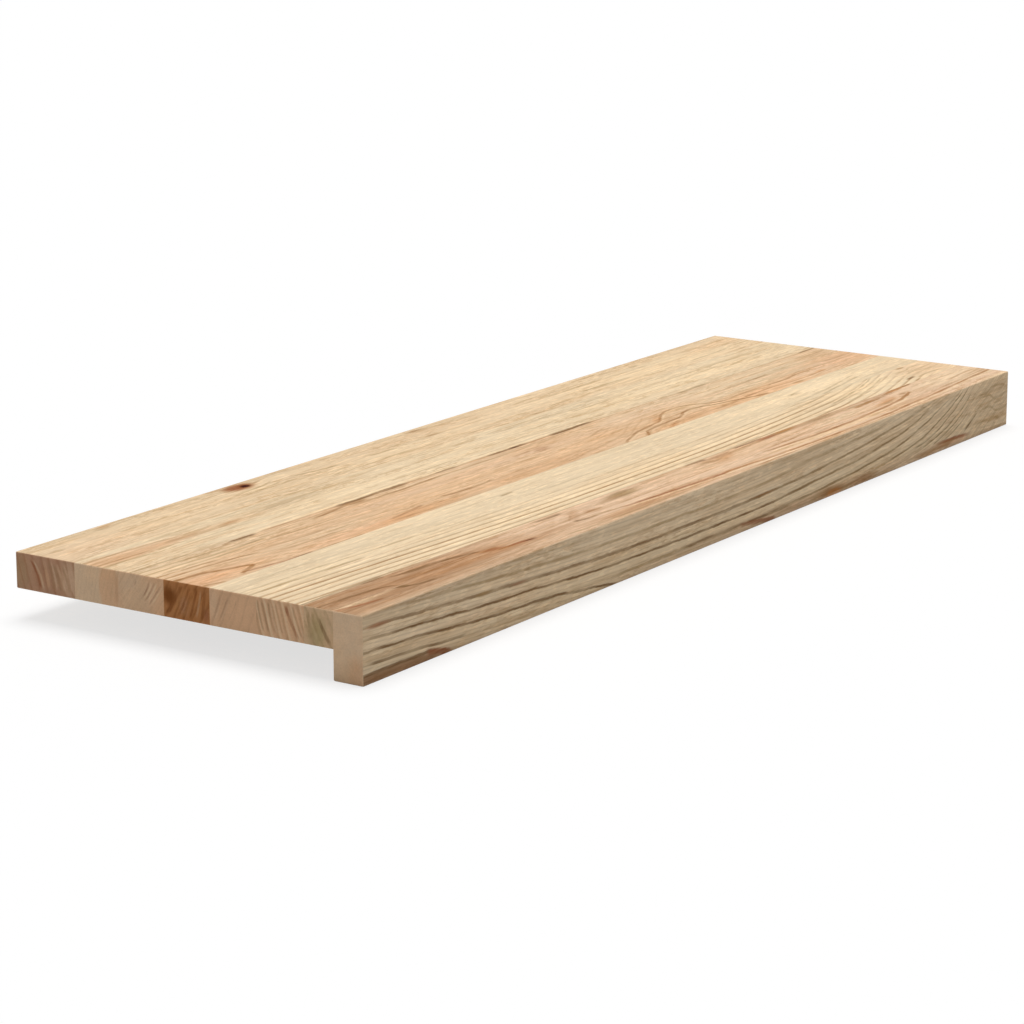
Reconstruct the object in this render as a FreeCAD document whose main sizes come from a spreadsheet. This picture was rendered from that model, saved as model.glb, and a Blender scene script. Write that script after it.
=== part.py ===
# Stair tread glued up from full-length oak staves, with a deeper strip along its front edge as the nosing.
# Millimetres. +X runs along the tread, -Y is the front and +Z is up. The origin lies under the middle of the
# tread, level with the nosing's foot.
import FreeCAD
import Part
import itertools
import os

import Sketcher

PARTS_FOLDER = "parts"

# Driving dimensions: name, size, and what it measures.
SIZES = (
    ("tread_length", 800.0, "tread, end to end"),
    ("board_thickness", 22.0, "board, underside to walking surface"),
    ("back_stave_width", 45.0, "stave along the back edge"),
    ("stave_width", 33.0, "each stave between the back one and the front one"),
    ("front_stave_width", 20.0, "stave against the nosing, ripped narrow to finish the board"),
    ("nosing_thickness", 20.0, "nosing strip, front to back"),
    ("nosing_height", 40.0, "nosing strip, foot to walking surface"),
    ("arris_radius", 0.8, "sanded rounding along the exposed edges"),
)

# The board's staves from back to front, each by the name of its width.
STAVE_WIDTHS = ("back_stave_width", *["stave_width"] * 5, "front_stave_width")

# Outward directions of a strip's six sides.
SIDES = {
    "left": FreeCAD.Vector(-1, 0, 0),
    "right": FreeCAD.Vector(1, 0, 0),
    "front": FreeCAD.Vector(0, -1, 0),
    "back": FreeCAD.Vector(0, 1, 0),
    "under": FreeCAD.Vector(0, 0, -1),
    "top": FreeCAD.Vector(0, 0, 1),
}
OPEN_SIDES = ("left", "right", "under", "top")


def cell(name):
    """A driving dimension, as an expression reads it."""
    return f"Sizes.{name}"


def total(names):
    """The sum of several driving dimensions, as one expression."""
    return "(" + " + ".join(["0 mm"] + [f"{cell(name)} * 1 mm" for name in names]) + ")"


def make_sheet(doc):
    """The table of driving dimensions, one row each."""
    sheet = doc.addObject("Spreadsheet::Sheet", "Sizes")
    for row, (name, size, meaning) in enumerate(SIZES, start=1):
        sheet.set(f"A{row}", meaning)
        sheet.set(f"B{row}", str(size))
        sheet.setAlias(f"B{row}", name)
    doc.recompute()


def draw_section(body, width, height):
    """A strip's cross-section: back lower corner on the origin, width towards the front, height upwards."""
    sketch = body.newObject("Sketcher::SketchObject", "Section")
    plane = next(plane for plane in body.Origin.OriginFeatures if plane.Role == "YZ_Plane")
    sketch.AttachmentSupport = [(plane, "")]
    sketch.MapMode = "FlatFace"
    corners = [FreeCAD.Vector(*xy, 0) for xy in ((0, 0), (0, 1), (-1, 1), (-1, 0))]
    back, top, front, under = (
        sketch.addGeometry(Part.LineSegment(start, end), False)
        for start, end in zip(corners, corners[1:] + corners[:1])
    )
    start, end = 1, 2
    origin_point = (-1, 1)
    for line, following in ((back, top), (top, front), (front, under), (under, back)):
        sketch.addConstraint(Sketcher.Constraint("Coincident", line, end, following, start))
    for line in (back, front):
        sketch.addConstraint(Sketcher.Constraint("Vertical", line))
    for line in (top, under):
        sketch.addConstraint(Sketcher.Constraint("Horizontal", line))
    sketch.addConstraint(Sketcher.Constraint("Coincident", back, start, *origin_point))
    sketch.addConstraint(Sketcher.Constraint("DistanceX", under, start, under, end, 1.0))
    sketch.renameConstraint(sketch.ConstraintCount - 1, "width")
    sketch.addConstraint(Sketcher.Constraint("DistanceY", back, start, back, end, 1.0))
    sketch.renameConstraint(sketch.ConstraintCount - 1, "height")
    sketch.setExpression("Constraints.width", cell(width))
    sketch.setExpression("Constraints.height", cell(height))
    return sketch


def side_face(shape, side):
    """The flat face of a strip that looks towards one of its sides."""
    return next(face for face in shape.Faces if face.normalAt(0, 0).isEqual(SIDES[side], 1e-6))


def edges_between(shape, side_pairs):
    """The names of the edges where pairs of sides meet."""
    names = []
    for pair in side_pairs:
        one, other = (side_face(shape, side) for side in pair)
        names += [
            f"Edge{number}"
            for number, edge in enumerate(shape.Edges, start=1)
            if any(edge.isSame(e) for e in one.Edges) and any(edge.isSame(e) for e in other.Edges)
        ]
    return names


def meeting(sides):
    """Every pair of these sides that shares an edge, so not two opposite ones."""
    return [pair for pair in itertools.combinations(sides, 2) if not SIDES[pair[0]].dot(SIDES[pair[1]])]


def make_strip(doc, label, width, height, eased):
    """A straight strip of wood as long as the tread, with a sanded arris between the eased pairs of sides."""
    body = doc.addObject("PartDesign::Body", label)
    body.Label = label
    section = draw_section(body, width, height)
    pad = body.newObject("PartDesign::Pad", "Length")
    pad.Profile = section
    pad.SideType = "Symmetric"
    pad.setExpression("Length", cell("tread_length"))
    section.Visibility = False
    doc.recompute()
    arris = body.newObject("PartDesign::Fillet", "Arris")
    arris.Base = (pad, edges_between(pad.Shape, eased))
    arris.setExpression("Radius", cell("arris_radius"))
    body.Tip = arris
    return body


def make_stave(doc, number):
    """One stave of the board, glued to the stave behind it. The first one also shows its back edge."""
    behind = STAVE_WIDTHS[: number - 1]
    sides = OPEN_SIDES if behind else (*OPEN_SIDES, "back")
    stave = make_strip(doc, f"stave_{number}", STAVE_WIDTHS[number - 1], "board_thickness", meeting(sides))
    depth = total((*STAVE_WIDTHS, "nosing_thickness"))
    stave.setExpression("Placement.Base.y", f"{depth} / 2 - {total(behind)}")
    stave.setExpression("Placement.Base.z", f"({cell('nosing_height')} - {cell('board_thickness')}) * 1 mm")
    return stave


def make_nosing(doc):
    """The strip glued to the board's front edge. It stands as high as the board and hangs below it as a lip."""
    eased = [*meeting((*OPEN_SIDES, "front")), ("back", "under")]
    nosing = make_strip(doc, "nosing_strip", "nosing_thickness", "nosing_height", eased)
    depth = total((*STAVE_WIDTHS, "nosing_thickness"))
    nosing.setExpression("Placement.Base.y", f"{total(('nosing_thickness',))} - {depth} / 2")
    return nosing


def check(doc, pieces):
    """Stops if anything failed to build or a piece is not one sound solid."""
    failed = [o.Label for o in doc.Objects if {"Invalid", "Error"} & set(o.State)]
    if failed:
        raise RuntimeError(f"failed to build: {failed}")
    for piece in pieces:
        shape = piece.Shape
        if shape.isNull() or not shape.isValid() or len(shape.Solids) != 1:
            raise RuntimeError(f"{piece.Label} is not one valid solid")


def main():
    doc = FreeCAD.newDocument("stair_tread")
    make_sheet(doc)
    pieces = [make_stave(doc, number) for number in range(1, len(STAVE_WIDTHS) + 1)]
    pieces.append(make_nosing(doc))
    doc.recompute()
    check(doc, pieces)
    os.makedirs(PARTS_FOLDER, exist_ok=True)
    for piece in pieces:
        piece.Shape.exportStep(os.path.join(PARTS_FOLDER, f"{piece.Label}.step"))
        box = piece.Shape.BoundBox
        print(
            f"{piece.Label}: {box.XLength:.1f} x {box.YLength:.1f} x {box.ZLength:.1f} mm,"
            f" y {box.YMin:.1f} to {box.YMax:.1f}, z {box.ZMin:.1f} to {box.ZMax:.1f}"
        )


main()
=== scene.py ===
"""Oak stair tread: seven glued staves and a nosing strip, each planed, eased and given its own grain.

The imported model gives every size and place. The figure of the wood is set out in millimetres on the tread's
faces: on top from the left end and the back edge, on the front from the left end and the top edge, and on the
left end from the top edge and the back edge.
"""
import functools
import math
from typing import Callable, NamedTuple

import bmesh
import bpy
from bpy.props import FloatProperty, FloatVectorProperty, PointerProperty
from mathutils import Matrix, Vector


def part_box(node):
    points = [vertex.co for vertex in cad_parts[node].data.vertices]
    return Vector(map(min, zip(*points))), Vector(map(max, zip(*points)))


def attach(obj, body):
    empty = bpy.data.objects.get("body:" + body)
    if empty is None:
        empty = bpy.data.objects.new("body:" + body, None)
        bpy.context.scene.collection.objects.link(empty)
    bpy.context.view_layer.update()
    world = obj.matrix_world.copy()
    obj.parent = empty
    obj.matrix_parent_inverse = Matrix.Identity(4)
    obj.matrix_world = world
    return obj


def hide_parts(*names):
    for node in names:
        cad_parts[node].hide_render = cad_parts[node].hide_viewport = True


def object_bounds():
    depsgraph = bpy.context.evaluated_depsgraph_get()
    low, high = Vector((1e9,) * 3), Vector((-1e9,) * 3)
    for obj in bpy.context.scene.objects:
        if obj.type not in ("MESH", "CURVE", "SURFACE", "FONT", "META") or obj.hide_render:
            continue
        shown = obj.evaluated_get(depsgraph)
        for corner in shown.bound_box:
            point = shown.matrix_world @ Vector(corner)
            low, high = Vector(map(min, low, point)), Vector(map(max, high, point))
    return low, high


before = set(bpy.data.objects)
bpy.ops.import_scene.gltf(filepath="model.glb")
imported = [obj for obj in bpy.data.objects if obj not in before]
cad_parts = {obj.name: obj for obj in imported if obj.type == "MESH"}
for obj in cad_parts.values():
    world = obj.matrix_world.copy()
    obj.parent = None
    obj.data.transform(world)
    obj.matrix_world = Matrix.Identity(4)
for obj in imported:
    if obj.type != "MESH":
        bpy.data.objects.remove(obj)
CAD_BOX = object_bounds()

bl_info = {
    "name": "Oak Stair Tread",
    "version": (1, 0, 0),
    "blender": (4, 5, 0),
    "location": "View3D > Sidebar > Tread",
    "description": "Edge-glued oak stair tread with a nosing strip",
    "category": "Add Mesh",
}

BODY = "root"
MM_PER_M = 1000.0
TREAD_LOW, TREAD_HIGH = (Vector(corner) * MM_PER_M for corner in CAD_BOX)
NOSING_NODE = "nosing_strip"
STAVE_NODES = [f"stave_{number}" for number in range(1, 8)]

# Directions that a strip's sides look in
LEFT, RIGHT = (-1, 0, 0), (1, 0, 0)
FRONT, BACK = (0, -1, 0), (0, 1, 0)
UNDER, TOP = (0, 0, -1), (0, 0, 1)


# Sizes and colours

def length(name, description, default, least=0.0):
    """A length in metres that a user may change."""
    return FloatProperty(name=name, description=description, default=default, min=least, unit="LENGTH")


def angle(name, description, degrees):
    """An angle that a user may change."""
    return FloatProperty(name=name, description=description, default=math.radians(degrees), subtype="ANGLE")


def colour(name, description, default):
    """A colour that a user may change."""
    return FloatVectorProperty(
        name=name, description=description, default=default, size=3, min=0.0, max=1.0, subtype="COLOR"
    )


class TreadSizes(bpy.types.PropertyGroup):
    """Sizes of the finish on the wood."""

    arris: length("Arris", "Radius of the sanded edges", 0.0008, least=0.0002)
    grain_relief: length("Grain relief", "How far a dark growth line lies below the planed face", 0.00012)
    slice_along: length("Slice along", "Mesh spacing along the grain", 0.0027, least=0.001)
    slice_across: length("Slice across", "Mesh spacing across the grain", 0.0006, least=0.0004)
    slice_hidden: length(
        "Slice hidden", "Mesh spacing down the sides that only show at the ends", 0.002, least=0.0005
    )


class OakColours(bpy.types.PropertyGroup):
    """Colours of the wood."""

    ivory: colour("Ivory", "Palest sapwood", (0.95, 0.745, 0.485))
    cream: colour("Cream", "Plain pale wood", (0.86, 0.685, 0.462))
    straw: colour("Straw", "Pale wood with a warm cast", (0.855, 0.655, 0.43))
    tan: colour("Tan", "Greyer pale wood", (0.72, 0.555, 0.365))
    heart: colour("Heart", "Pink-tan heartwood", (0.80, 0.555, 0.347))
    blush: colour("Blush", "Pinkest heartwood", (0.82, 0.515, 0.31))
    rose: colour("Rose", "Pale pink wood", (0.81, 0.575, 0.388))
    drab: colour("Drab", "Grey-olive front of the nosing", (0.915, 0.717, 0.488))
    late: colour("Late wood", "Growth line in pale wood", (0.43, 0.275, 0.125))
    clay: colour("Clay", "Growth line in heartwood", (0.45, 0.215, 0.085))
    dusk: colour("Dusk", "Growth line on the nosing's front", (0.33, 0.205, 0.09))
    amber: colour("Amber", "Orange streak", (0.60, 0.28, 0.105))
    umber: colour("Umber", "Brown streak", (0.39, 0.19, 0.065))
    olive: colour("Olive", "Grey-green brown streak", (0.46, 0.31, 0.165))
    russet: colour("Russet", "Red-brown wood", (0.48, 0.29, 0.165))
    brick: colour("Brick", "Red streak", (0.38, 0.15, 0.07))
    bark: colour("Bark", "Dark dash", (0.24, 0.135, 0.058))
    knot: colour("Knot", "Heart of a knot", (0.045, 0.006, 0.002))
    chestnut: colour("Chestnut", "Brown end grain", (0.56, 0.32, 0.20))
    walnut: colour("Walnut", "Dark end grain", (0.53, 0.232, 0.088))
    ember: colour("Ember", "Darkest end grain", (0.25, 0.085, 0.022))
    honey: colour("Honey", "Pale end grain", (0.84, 0.52, 0.305))
    sand: colour("Sand", "Palest end grain", (0.85, 0.61, 0.40))
    fawn: colour("Fawn", "Olive-tan end grain", (0.77, 0.53, 0.32))
    moss: colour("Moss", "Green-brown end grain", (0.50, 0.385, 0.185))
    shadow: colour("Grain shadow", "Tint of pores and dashes", (0.66, 0.54, 0.40))
    glow: colour("Warm cast", "Tint of warmer zones", (1.0, 0.91, 0.80))


class StageSettings(bpy.types.PropertyGroup):
    """Camera, light and floor."""

    floor_size: length("Floor", "Side of the floor", 60.0)
    sun_strength: FloatProperty(name="Sun", description="Strength of the sun", default=2.32, min=0.0)
    sun_height: angle("Sun height", "Sun above the horizon", 78)
    sun_bearing: angle("Sun bearing", "Where the sun stands, from +X towards +Y", 20)
    sun_width: angle("Sun width", "How wide the sun looks, which softens shadows", 40)
    sky_strength: FloatProperty(name="Sky", description="Light from all round", default=0.28, min=0.0)
    eye: FloatVectorProperty(
        name="Eye", description="Where the camera stands", default=(-1.7833, -1.1490, 0.5237),
        subtype="XYZ", unit="LENGTH"
    )
    pitch: angle("Pitch", "How far the camera looks down", 13.908)
    bearing: angle("Bearing", "Where the camera looks, from +Y towards +X", 56.174)
    lens: FloatProperty(name="Lens", description="Focal length in millimetres", default=116.309)


# Figure of the wood

class Rings(NamedTuple):
    """Growth rings that a face cuts into lines. The lean is the rings' slope in the end grain, forward for
    each millimetre down, and the drift is how far they move forward along the board."""

    colour: str
    spacing: float
    lean: float = 0.0
    drift: tuple = ((0, 0), (800, 0))
    start: float = 0.0
    share: float = 0.35
    waver: float = 1.5
    uneven: float = 0.5
    strength: float = 0.3
    side: float = 0.2
    # Strength of a painted highlight band just after each line
    pale: float = 0.0
    end_colour: str = "clay"
    end_strength: float = 0.4
    relief: float = 0.6


class Patch(NamedTuple):
    """A soft oval of colour on a face, with its reach along and across, and its depth below the face."""

    colour: str
    place: tuple
    reach: tuple
    strength: float = 0.6
    tilt: float = 0.0
    soft: float = 0.8
    fray: float = 0.25
    deep: float = 6.0
    relief: float = 0.0


class Vein(NamedTuple):
    """A line of colour that follows a path on a face and fades at its ends, with its glint, a painted
    highlight beside it."""

    colour: str
    path: tuple
    strength: float = 0.6
    wide: float = 1.8
    soft: float = 0.6
    fray: float = 0.5
    fade: float = 12.0
    relief: float = 0.5
    glint: float = 0.0


class Timber(NamedTuple):
    """The wood of one piece: its plain colours, its rings, and the tints and marks on its faces. Tints lie
    under the rings and marks over them, each in the order given."""

    slot: str
    face_colour: str
    top_colour: str
    end_colour: str
    rings: tuple
    top_tints: tuple = ()
    front_tints: tuple = ()
    end_tints: tuple = ()
    top_marks: tuple = ()
    front_marks: tuple = ()
    end_marks: tuple = ()
    seed: float = 0.0
    dashes: float = 0.45
    streaks: float = 0.26
    warmth: float = 0.3

    def tints(self):
        """Every tint with its face, from the first one laid on."""
        by_face = {"top": self.top_tints, "front": self.front_tints, "end": self.end_tints}
        return [(face, tint) for face, tints in by_face.items() for tint in tints]

    def marks(self):
        """Every mark with its face, from the first one laid on."""
        by_face = {"top": self.top_marks, "front": self.front_marks, "end": self.end_marks}
        return [(face, mark) for face, marks in by_face.items() for mark in marks]


STAVE_1 = Timber(
    slot="pale_tan_oak",
    face_colour="straw",
    top_colour="straw",
    end_colour="chestnut",
    seed=11.0,
    rings=(
        Rings("late", 6.2, lean=0.3, strength=0.14, side=0.25, waver=2.5, end_colour="brick",
              end_strength=0.45),
        Rings("late", 2.7, lean=0.3, strength=0.16, end_strength=0.1, waver=3.0, uneven=0.9, relief=0.3),
    ),
    top_tints=(
        Patch("tan", (100, 4), (220, 9), 0.55),
        Patch("tan", (370, 3), (170, 8), 0.5),
        Patch("amber", (380, 12), (120, 10), 0.12),
        Patch("ivory", (690, 26), (260, 24)),
        Patch("ivory", (330, 33), (170, 12), 0.35),
        Patch("tan", (210, 26), (60, 8), 0.45),
        Patch("blush", (770, 18), (70, 16), 0.2),
        Patch("rose", (20, 30), (90, 26), 0.4),
        Patch("ivory", (200, 20), (30, 6)),
    ),
    end_tints=(
        Patch("olive", (12, 4), (18, 10), 0.5, deep=8),
        Patch("sand", (11, 42), (18, 12), 0.45, deep=8),
    ),
    top_marks=(
        Patch("clay", (197, 8.5), (20, 10), 0.75, soft=0.6, fray=0.2, deep=10),
        Patch("brick", (196.5, 8.2), (16, 8), 0.9, soft=0.7, fray=0.3, deep=10, relief=0.4),
        Patch("ember", (202, 9.2), (9.5, 6.4), 0.85, soft=0.9, fray=0.3, deep=10),
        Patch("knot", (202.4, 9.8), (5.2, 4.2), 1.0, soft=0.7, fray=0.3, deep=10, relief=1.0),
        Patch("ember", (190, 7.6), (9, 2.2), fray=0.4, deep=10),
        Vein("umber", ((168, 1.5), (180, 2.5), (190, 1.5)), wide=2.2, fade=7),
        Vein("umber", ((206, 11), (216, 8), (232, 5)), 0.5, wide=2.0, fade=8),
        Vein("late", ((174, 21), (190, 19.5), (205, 19), (216, 16.5), (226, 13)), 0.5, fade=8),
        Vein("late", ((170, 26), (192, 24.5), (208, 23.5), (228, 18)), 0.4, wide=1.6, fade=8),
        Patch("olive", (14, 20), (9, 3)),
        Patch("olive", (70, 7), (11, 3.4), 0.5),
        Patch("amber", (74, 4), (10, 3), 0.35),
        Patch("umber", (390, 5), (12, 3), 0.5),
        Patch("umber", (390, 22), (10, 2.4), 0.4),
        Patch("olive", (630, 8), (18, 3), 0.35),
        Patch("olive", (660, 12), (11, 2.6), 0.4),
        Vein("late", ((66, 20), (86, 21), (120, 19)), 0.4, fade=8, glint=0.7),
        Vein("late", ((64, 33), (84, 34), (104, 33)), 0.4, fade=8, glint=0.7),
        Vein("late", ((238, 18), (262, 21), (284, 23.5)), 0.55, wide=2.0, fade=8, glint=0.7),
        Vein("late", ((312, 24), (345, 25.5)), 0.5, wide=1.9, fade=8, glint=0.7),
        Vein("late", ((310, 36), (345, 37)), 0.4, fade=8, glint=0.6),
        Vein("umber", ((398, 40), (447, 41)), 0.45, glint=0.5),
        Vein("umber", ((476, 43), (502, 43.5)), 0.5, fade=8),
        Vein("late", ((505, 17), (560, 18), (610, 16)), 0.35, fade=16),
        Vein("late", ((560, 30), (590, 29), (630, 31)), 0.4, fade=10, glint=0.6),
        Vein("late", ((700, 36), (740, 35), (766, 33)), 0.4, fade=10, glint=0.6),
    ),
    end_marks=(
        Vein("brick", ((2, 10.5), (9, 15.4), (14, 17.6), (21, 19.4)), 1.0, wide=1.7, fade=4, glint=0.4),
        Vein("russet", ((1, 4), (10, 7.4), (20, 10)), 0.5, fade=4),
        Vein("honey", ((1, 21), (10, 24), (20, 25.6)), 0.5, wide=2.2, fade=4),
        Vein("russet", ((2, 35), (11, 38.6), (21, 41)), wide=1.6, fade=4, glint=0.3),
        Vein("russet", ((1, 24.5), (9, 27.5), (20, 29.5)), 0.8, wide=1.6, fade=4, glint=0.4),
        Vein("russet", ((2, 29), (12, 32.6), (21, 35.6)), 0.85, wide=2.0, fade=4, glint=0.4),
    ),
)

STAVE_2 = Timber(
    slot="cream_oak",
    face_colour="cream",
    top_colour="cream",
    end_colour="sand",
    seed=23.0,
    rings=(
        Rings("late", 7.0, lean=-0.2, strength=0.12, end_colour="heart", end_strength=0.25, waver=2.0),
        Rings("late", 2.9, lean=-0.2, strength=0.14, end_strength=0.1, waver=3.0, uneven=0.9, relief=0.3),
    ),
    top_tints=(
        Patch("ivory", (280, 74), (200, 10), 0.4),
        Patch("ivory", (620, 68), (260, 22)),
        Patch("tan", (230, 50), (160, 8), 0.4),
        Patch("heart", (30, 76), (110, 9), 0.3),
        Patch("heart", (100, 60), (110, 9), 0.45),
    ),
    end_tints=(
        Patch("honey", (11, 71), (20, 9), 0.85, soft=0.35, deep=8),
        Patch("chestnut", (11, 76.5), (16, 2.4), 0.3, deep=8),
    ),
    top_marks=(
        Patch("blush", (16, 59), (90, 11), soft=0.6),
        Patch("clay", (30, 60), (70, 8), 0.28, tilt=0.02),
        Vein("umber", ((-10, 51.8), (30, 52.6), (78, 54.8)), 0.45, wide=2.0, glint=0.4),
        Vein("umber", ((50, 58), (80, 60.4), (110, 61.4), (142, 60)), 0.42, wide=3.6, fade=24),
        Vein("umber", ((-10, 61.5), (24, 63), (50, 64)), 0.5),
        Vein("late", ((-10, 66.5), (20, 67.5), (46, 70.5)), wide=2.0),
        Patch("amber", (125, 60), (15, 3), 0.35),
        Patch("olive", (184, 58), (48, 8), 0.35),
        Vein("olive", ((150, 58), (185, 57), (224, 55)), 0.4, wide=2.2, fade=20),
        Vein("late", ((20, 82), (60, 81.5), (110, 83)), 0.35, fade=16, glint=0.5),
        Vein("late", ((250, 63), (300, 61.5), (352, 61)), 0.3, fade=20),
        Vein("late", ((262, 76), (300, 77.5), (336, 76)), 0.4, fade=10, glint=0.6),
        Vein("late", ((400, 52), (470, 54), (540, 53)), 0.3, fade=24),
        Vein("late", ((480, 61), (530, 60), (560, 62)), 0.35, fade=14, glint=0.6),
        Vein("late", ((600, 57), (680, 58), (770, 55)), 0.3, fade=30),
        Vein("late", ((690, 71), (740, 66), (764, 65)), 0.4, fade=10, glint=0.6),
    ),
)

STAVE_3 = Timber(
    slot="two_tone_oak",
    face_colour="heart",
    top_colour="heart",
    end_colour="honey",
    seed=37.0,
    rings=(
        Rings("clay", 5.2, lean=-0.7, strength=0.12, end_colour="chestnut", end_strength=0.16, waver=1.6),
        Rings("clay", 2.5, lean=-0.7, strength=0.16, end_strength=0.1, waver=2.4, uneven=0.9, relief=0.3),
    ),
    top_tints=(
        Patch("cream", (250, 78), (520, 13), 1.0, soft=0.3, fray=0.05),
        Patch("cream", (640, 78), (420, 13), 1.0, soft=0.3, fray=0.05),
        Patch("straw", (10, 94), (130, 22), 0.85),
        Patch("straw", (120, 98), (80, 12), 0.4),
        Patch("cream", (650, 100), (260, 18), 0.75),
        Patch("rose", (300, 106), (260, 9), 0.5),
        Patch("cream", (300, 95), (150, 6), 0.4),
        Patch("tan", (690, 106), (70, 18), 0.5),
        Patch("rose", (540, 102), (90, 10), 0.5),
        Patch("amber", (768, 102), (40, 12), 0.2),
    ),
    end_tints=(
        Patch("sand", (11, 88), (24, 24), 0.8, deep=8),
    ),
    top_marks=(
        Vein("ivory", ((100, 86.6), (300, 86.2), (520, 86)), 0.85, wide=2.4, fade=30, relief=0.0),
        Vein("clay", ((110, 89.4), (300, 89), (500, 88.8)), 0.65, wide=2.0, fray=0.35, fade=20),
        Vein("clay", ((470, 88.9), (640, 88.8), (810, 88.8)), 0.3, wide=1.6, fray=0.35, fade=20),
        Vein("bark", ((84, 89.6), (97, 89.9), (113, 89.4)), 1.0, wide=3.0, fade=7, relief=1.0),
        Vein("umber", ((76, 90.5), (90, 90)), fade=5),
        Vein("bark", ((186, 90), (225, 89.4), (270, 89)), 0.95, wide=3.4, relief=1.0),
        Vein("umber", ((154, 97), (176, 95), (206, 90.6)), 0.75, wide=2.4, fade=7),
        Patch("umber", (207, 93.4), (16, 3.6), 0.7),
        Vein("bark", ((294, 89), (324, 88.8)), 0.8, wide=2.6, fade=8),
        Vein("bark", ((352, 89), (380, 88.8), (404, 88.6)), 0.9, wide=2.8, fade=9),
        Patch("knot", (388, 88.8), (8, 2)),
        Vein("bark", ((428, 88.8), (458, 88.2), (486, 88.4)), 1.0, wide=3.2, fade=10, relief=1.0),
        Vein("olive", ((594, 88.8), (640, 88.4)), 0.85, wide=2.8, fade=8),
        Vein("bark", ((772, 88.4), (806, 88)), 0.8, wide=2.6, fade=8),
        Vein("clay", ((172, 97), (250, 96.4), (330, 95.4), (404, 96)), wide=2.2, fade=20),
        Vein("umber", ((218, 96.8), (255, 96.6), (298, 95.8)), wide=2.2),
        Vein("clay", ((420, 119), (440, 114), (466, 107)), 0.5, wide=2.0, fade=8),
        Vein("clay", ((362, 104.4), (388, 103)), 0.65, wide=2.2, fade=6),
        Patch("brick", (394, 107), (13, 8), 0.35),
        Vein("umber", ((-10, 106), (25, 107.6), (54, 110.6)), 0.65, glint=0.6),
        Vein("late", ((-10, 98), (30, 99), (70, 101), (110, 100.5)), glint=0.6),
        Vein("late", ((-10, 92), (24, 93), (60, 95.4), (84, 96)), 0.55, glint=0.6),
        Vein("late", ((10, 103), (44, 104.6), (90, 106)), 0.5, glint=0.5),
        Vein("late", ((-10, 86.4), (30, 87), (56, 88.4)), 0.5, glint=0.5),
        Vein("late", ((100, 104), (150, 106.4), (190, 106)), 0.45, glint=0.4),
        Vein("clay", ((640, 99), (700, 100), (750, 98)), 0.4, wide=2.0, fade=20),
        Vein("clay", ((620, 110), (660, 108.5), (700, 109.5)), 0.4, fade=14, glint=0.4),
        Vein("umber", ((750, 96), (775, 99), (800, 98)), 0.45, wide=2.0, fade=8),
    ),
    end_marks=(
        Vein("chestnut", ((2, 101), (8, 98.6), (14, 94.4)), 0.9, wide=1.3, fade=4, glint=0.7),
        Vein("chestnut", ((2, 105), (9, 101.4), (16, 96)), 0.9, wide=1.3, fade=4, glint=0.7),
        Vein("chestnut", ((3, 109.5), (10, 105), (18, 99)), 0.8, wide=1.3, fade=4, glint=0.7),
        Vein("chestnut", ((3, 91.4), (8, 89)), 0.5, wide=1.2, fade=2),
    ),
)

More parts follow.
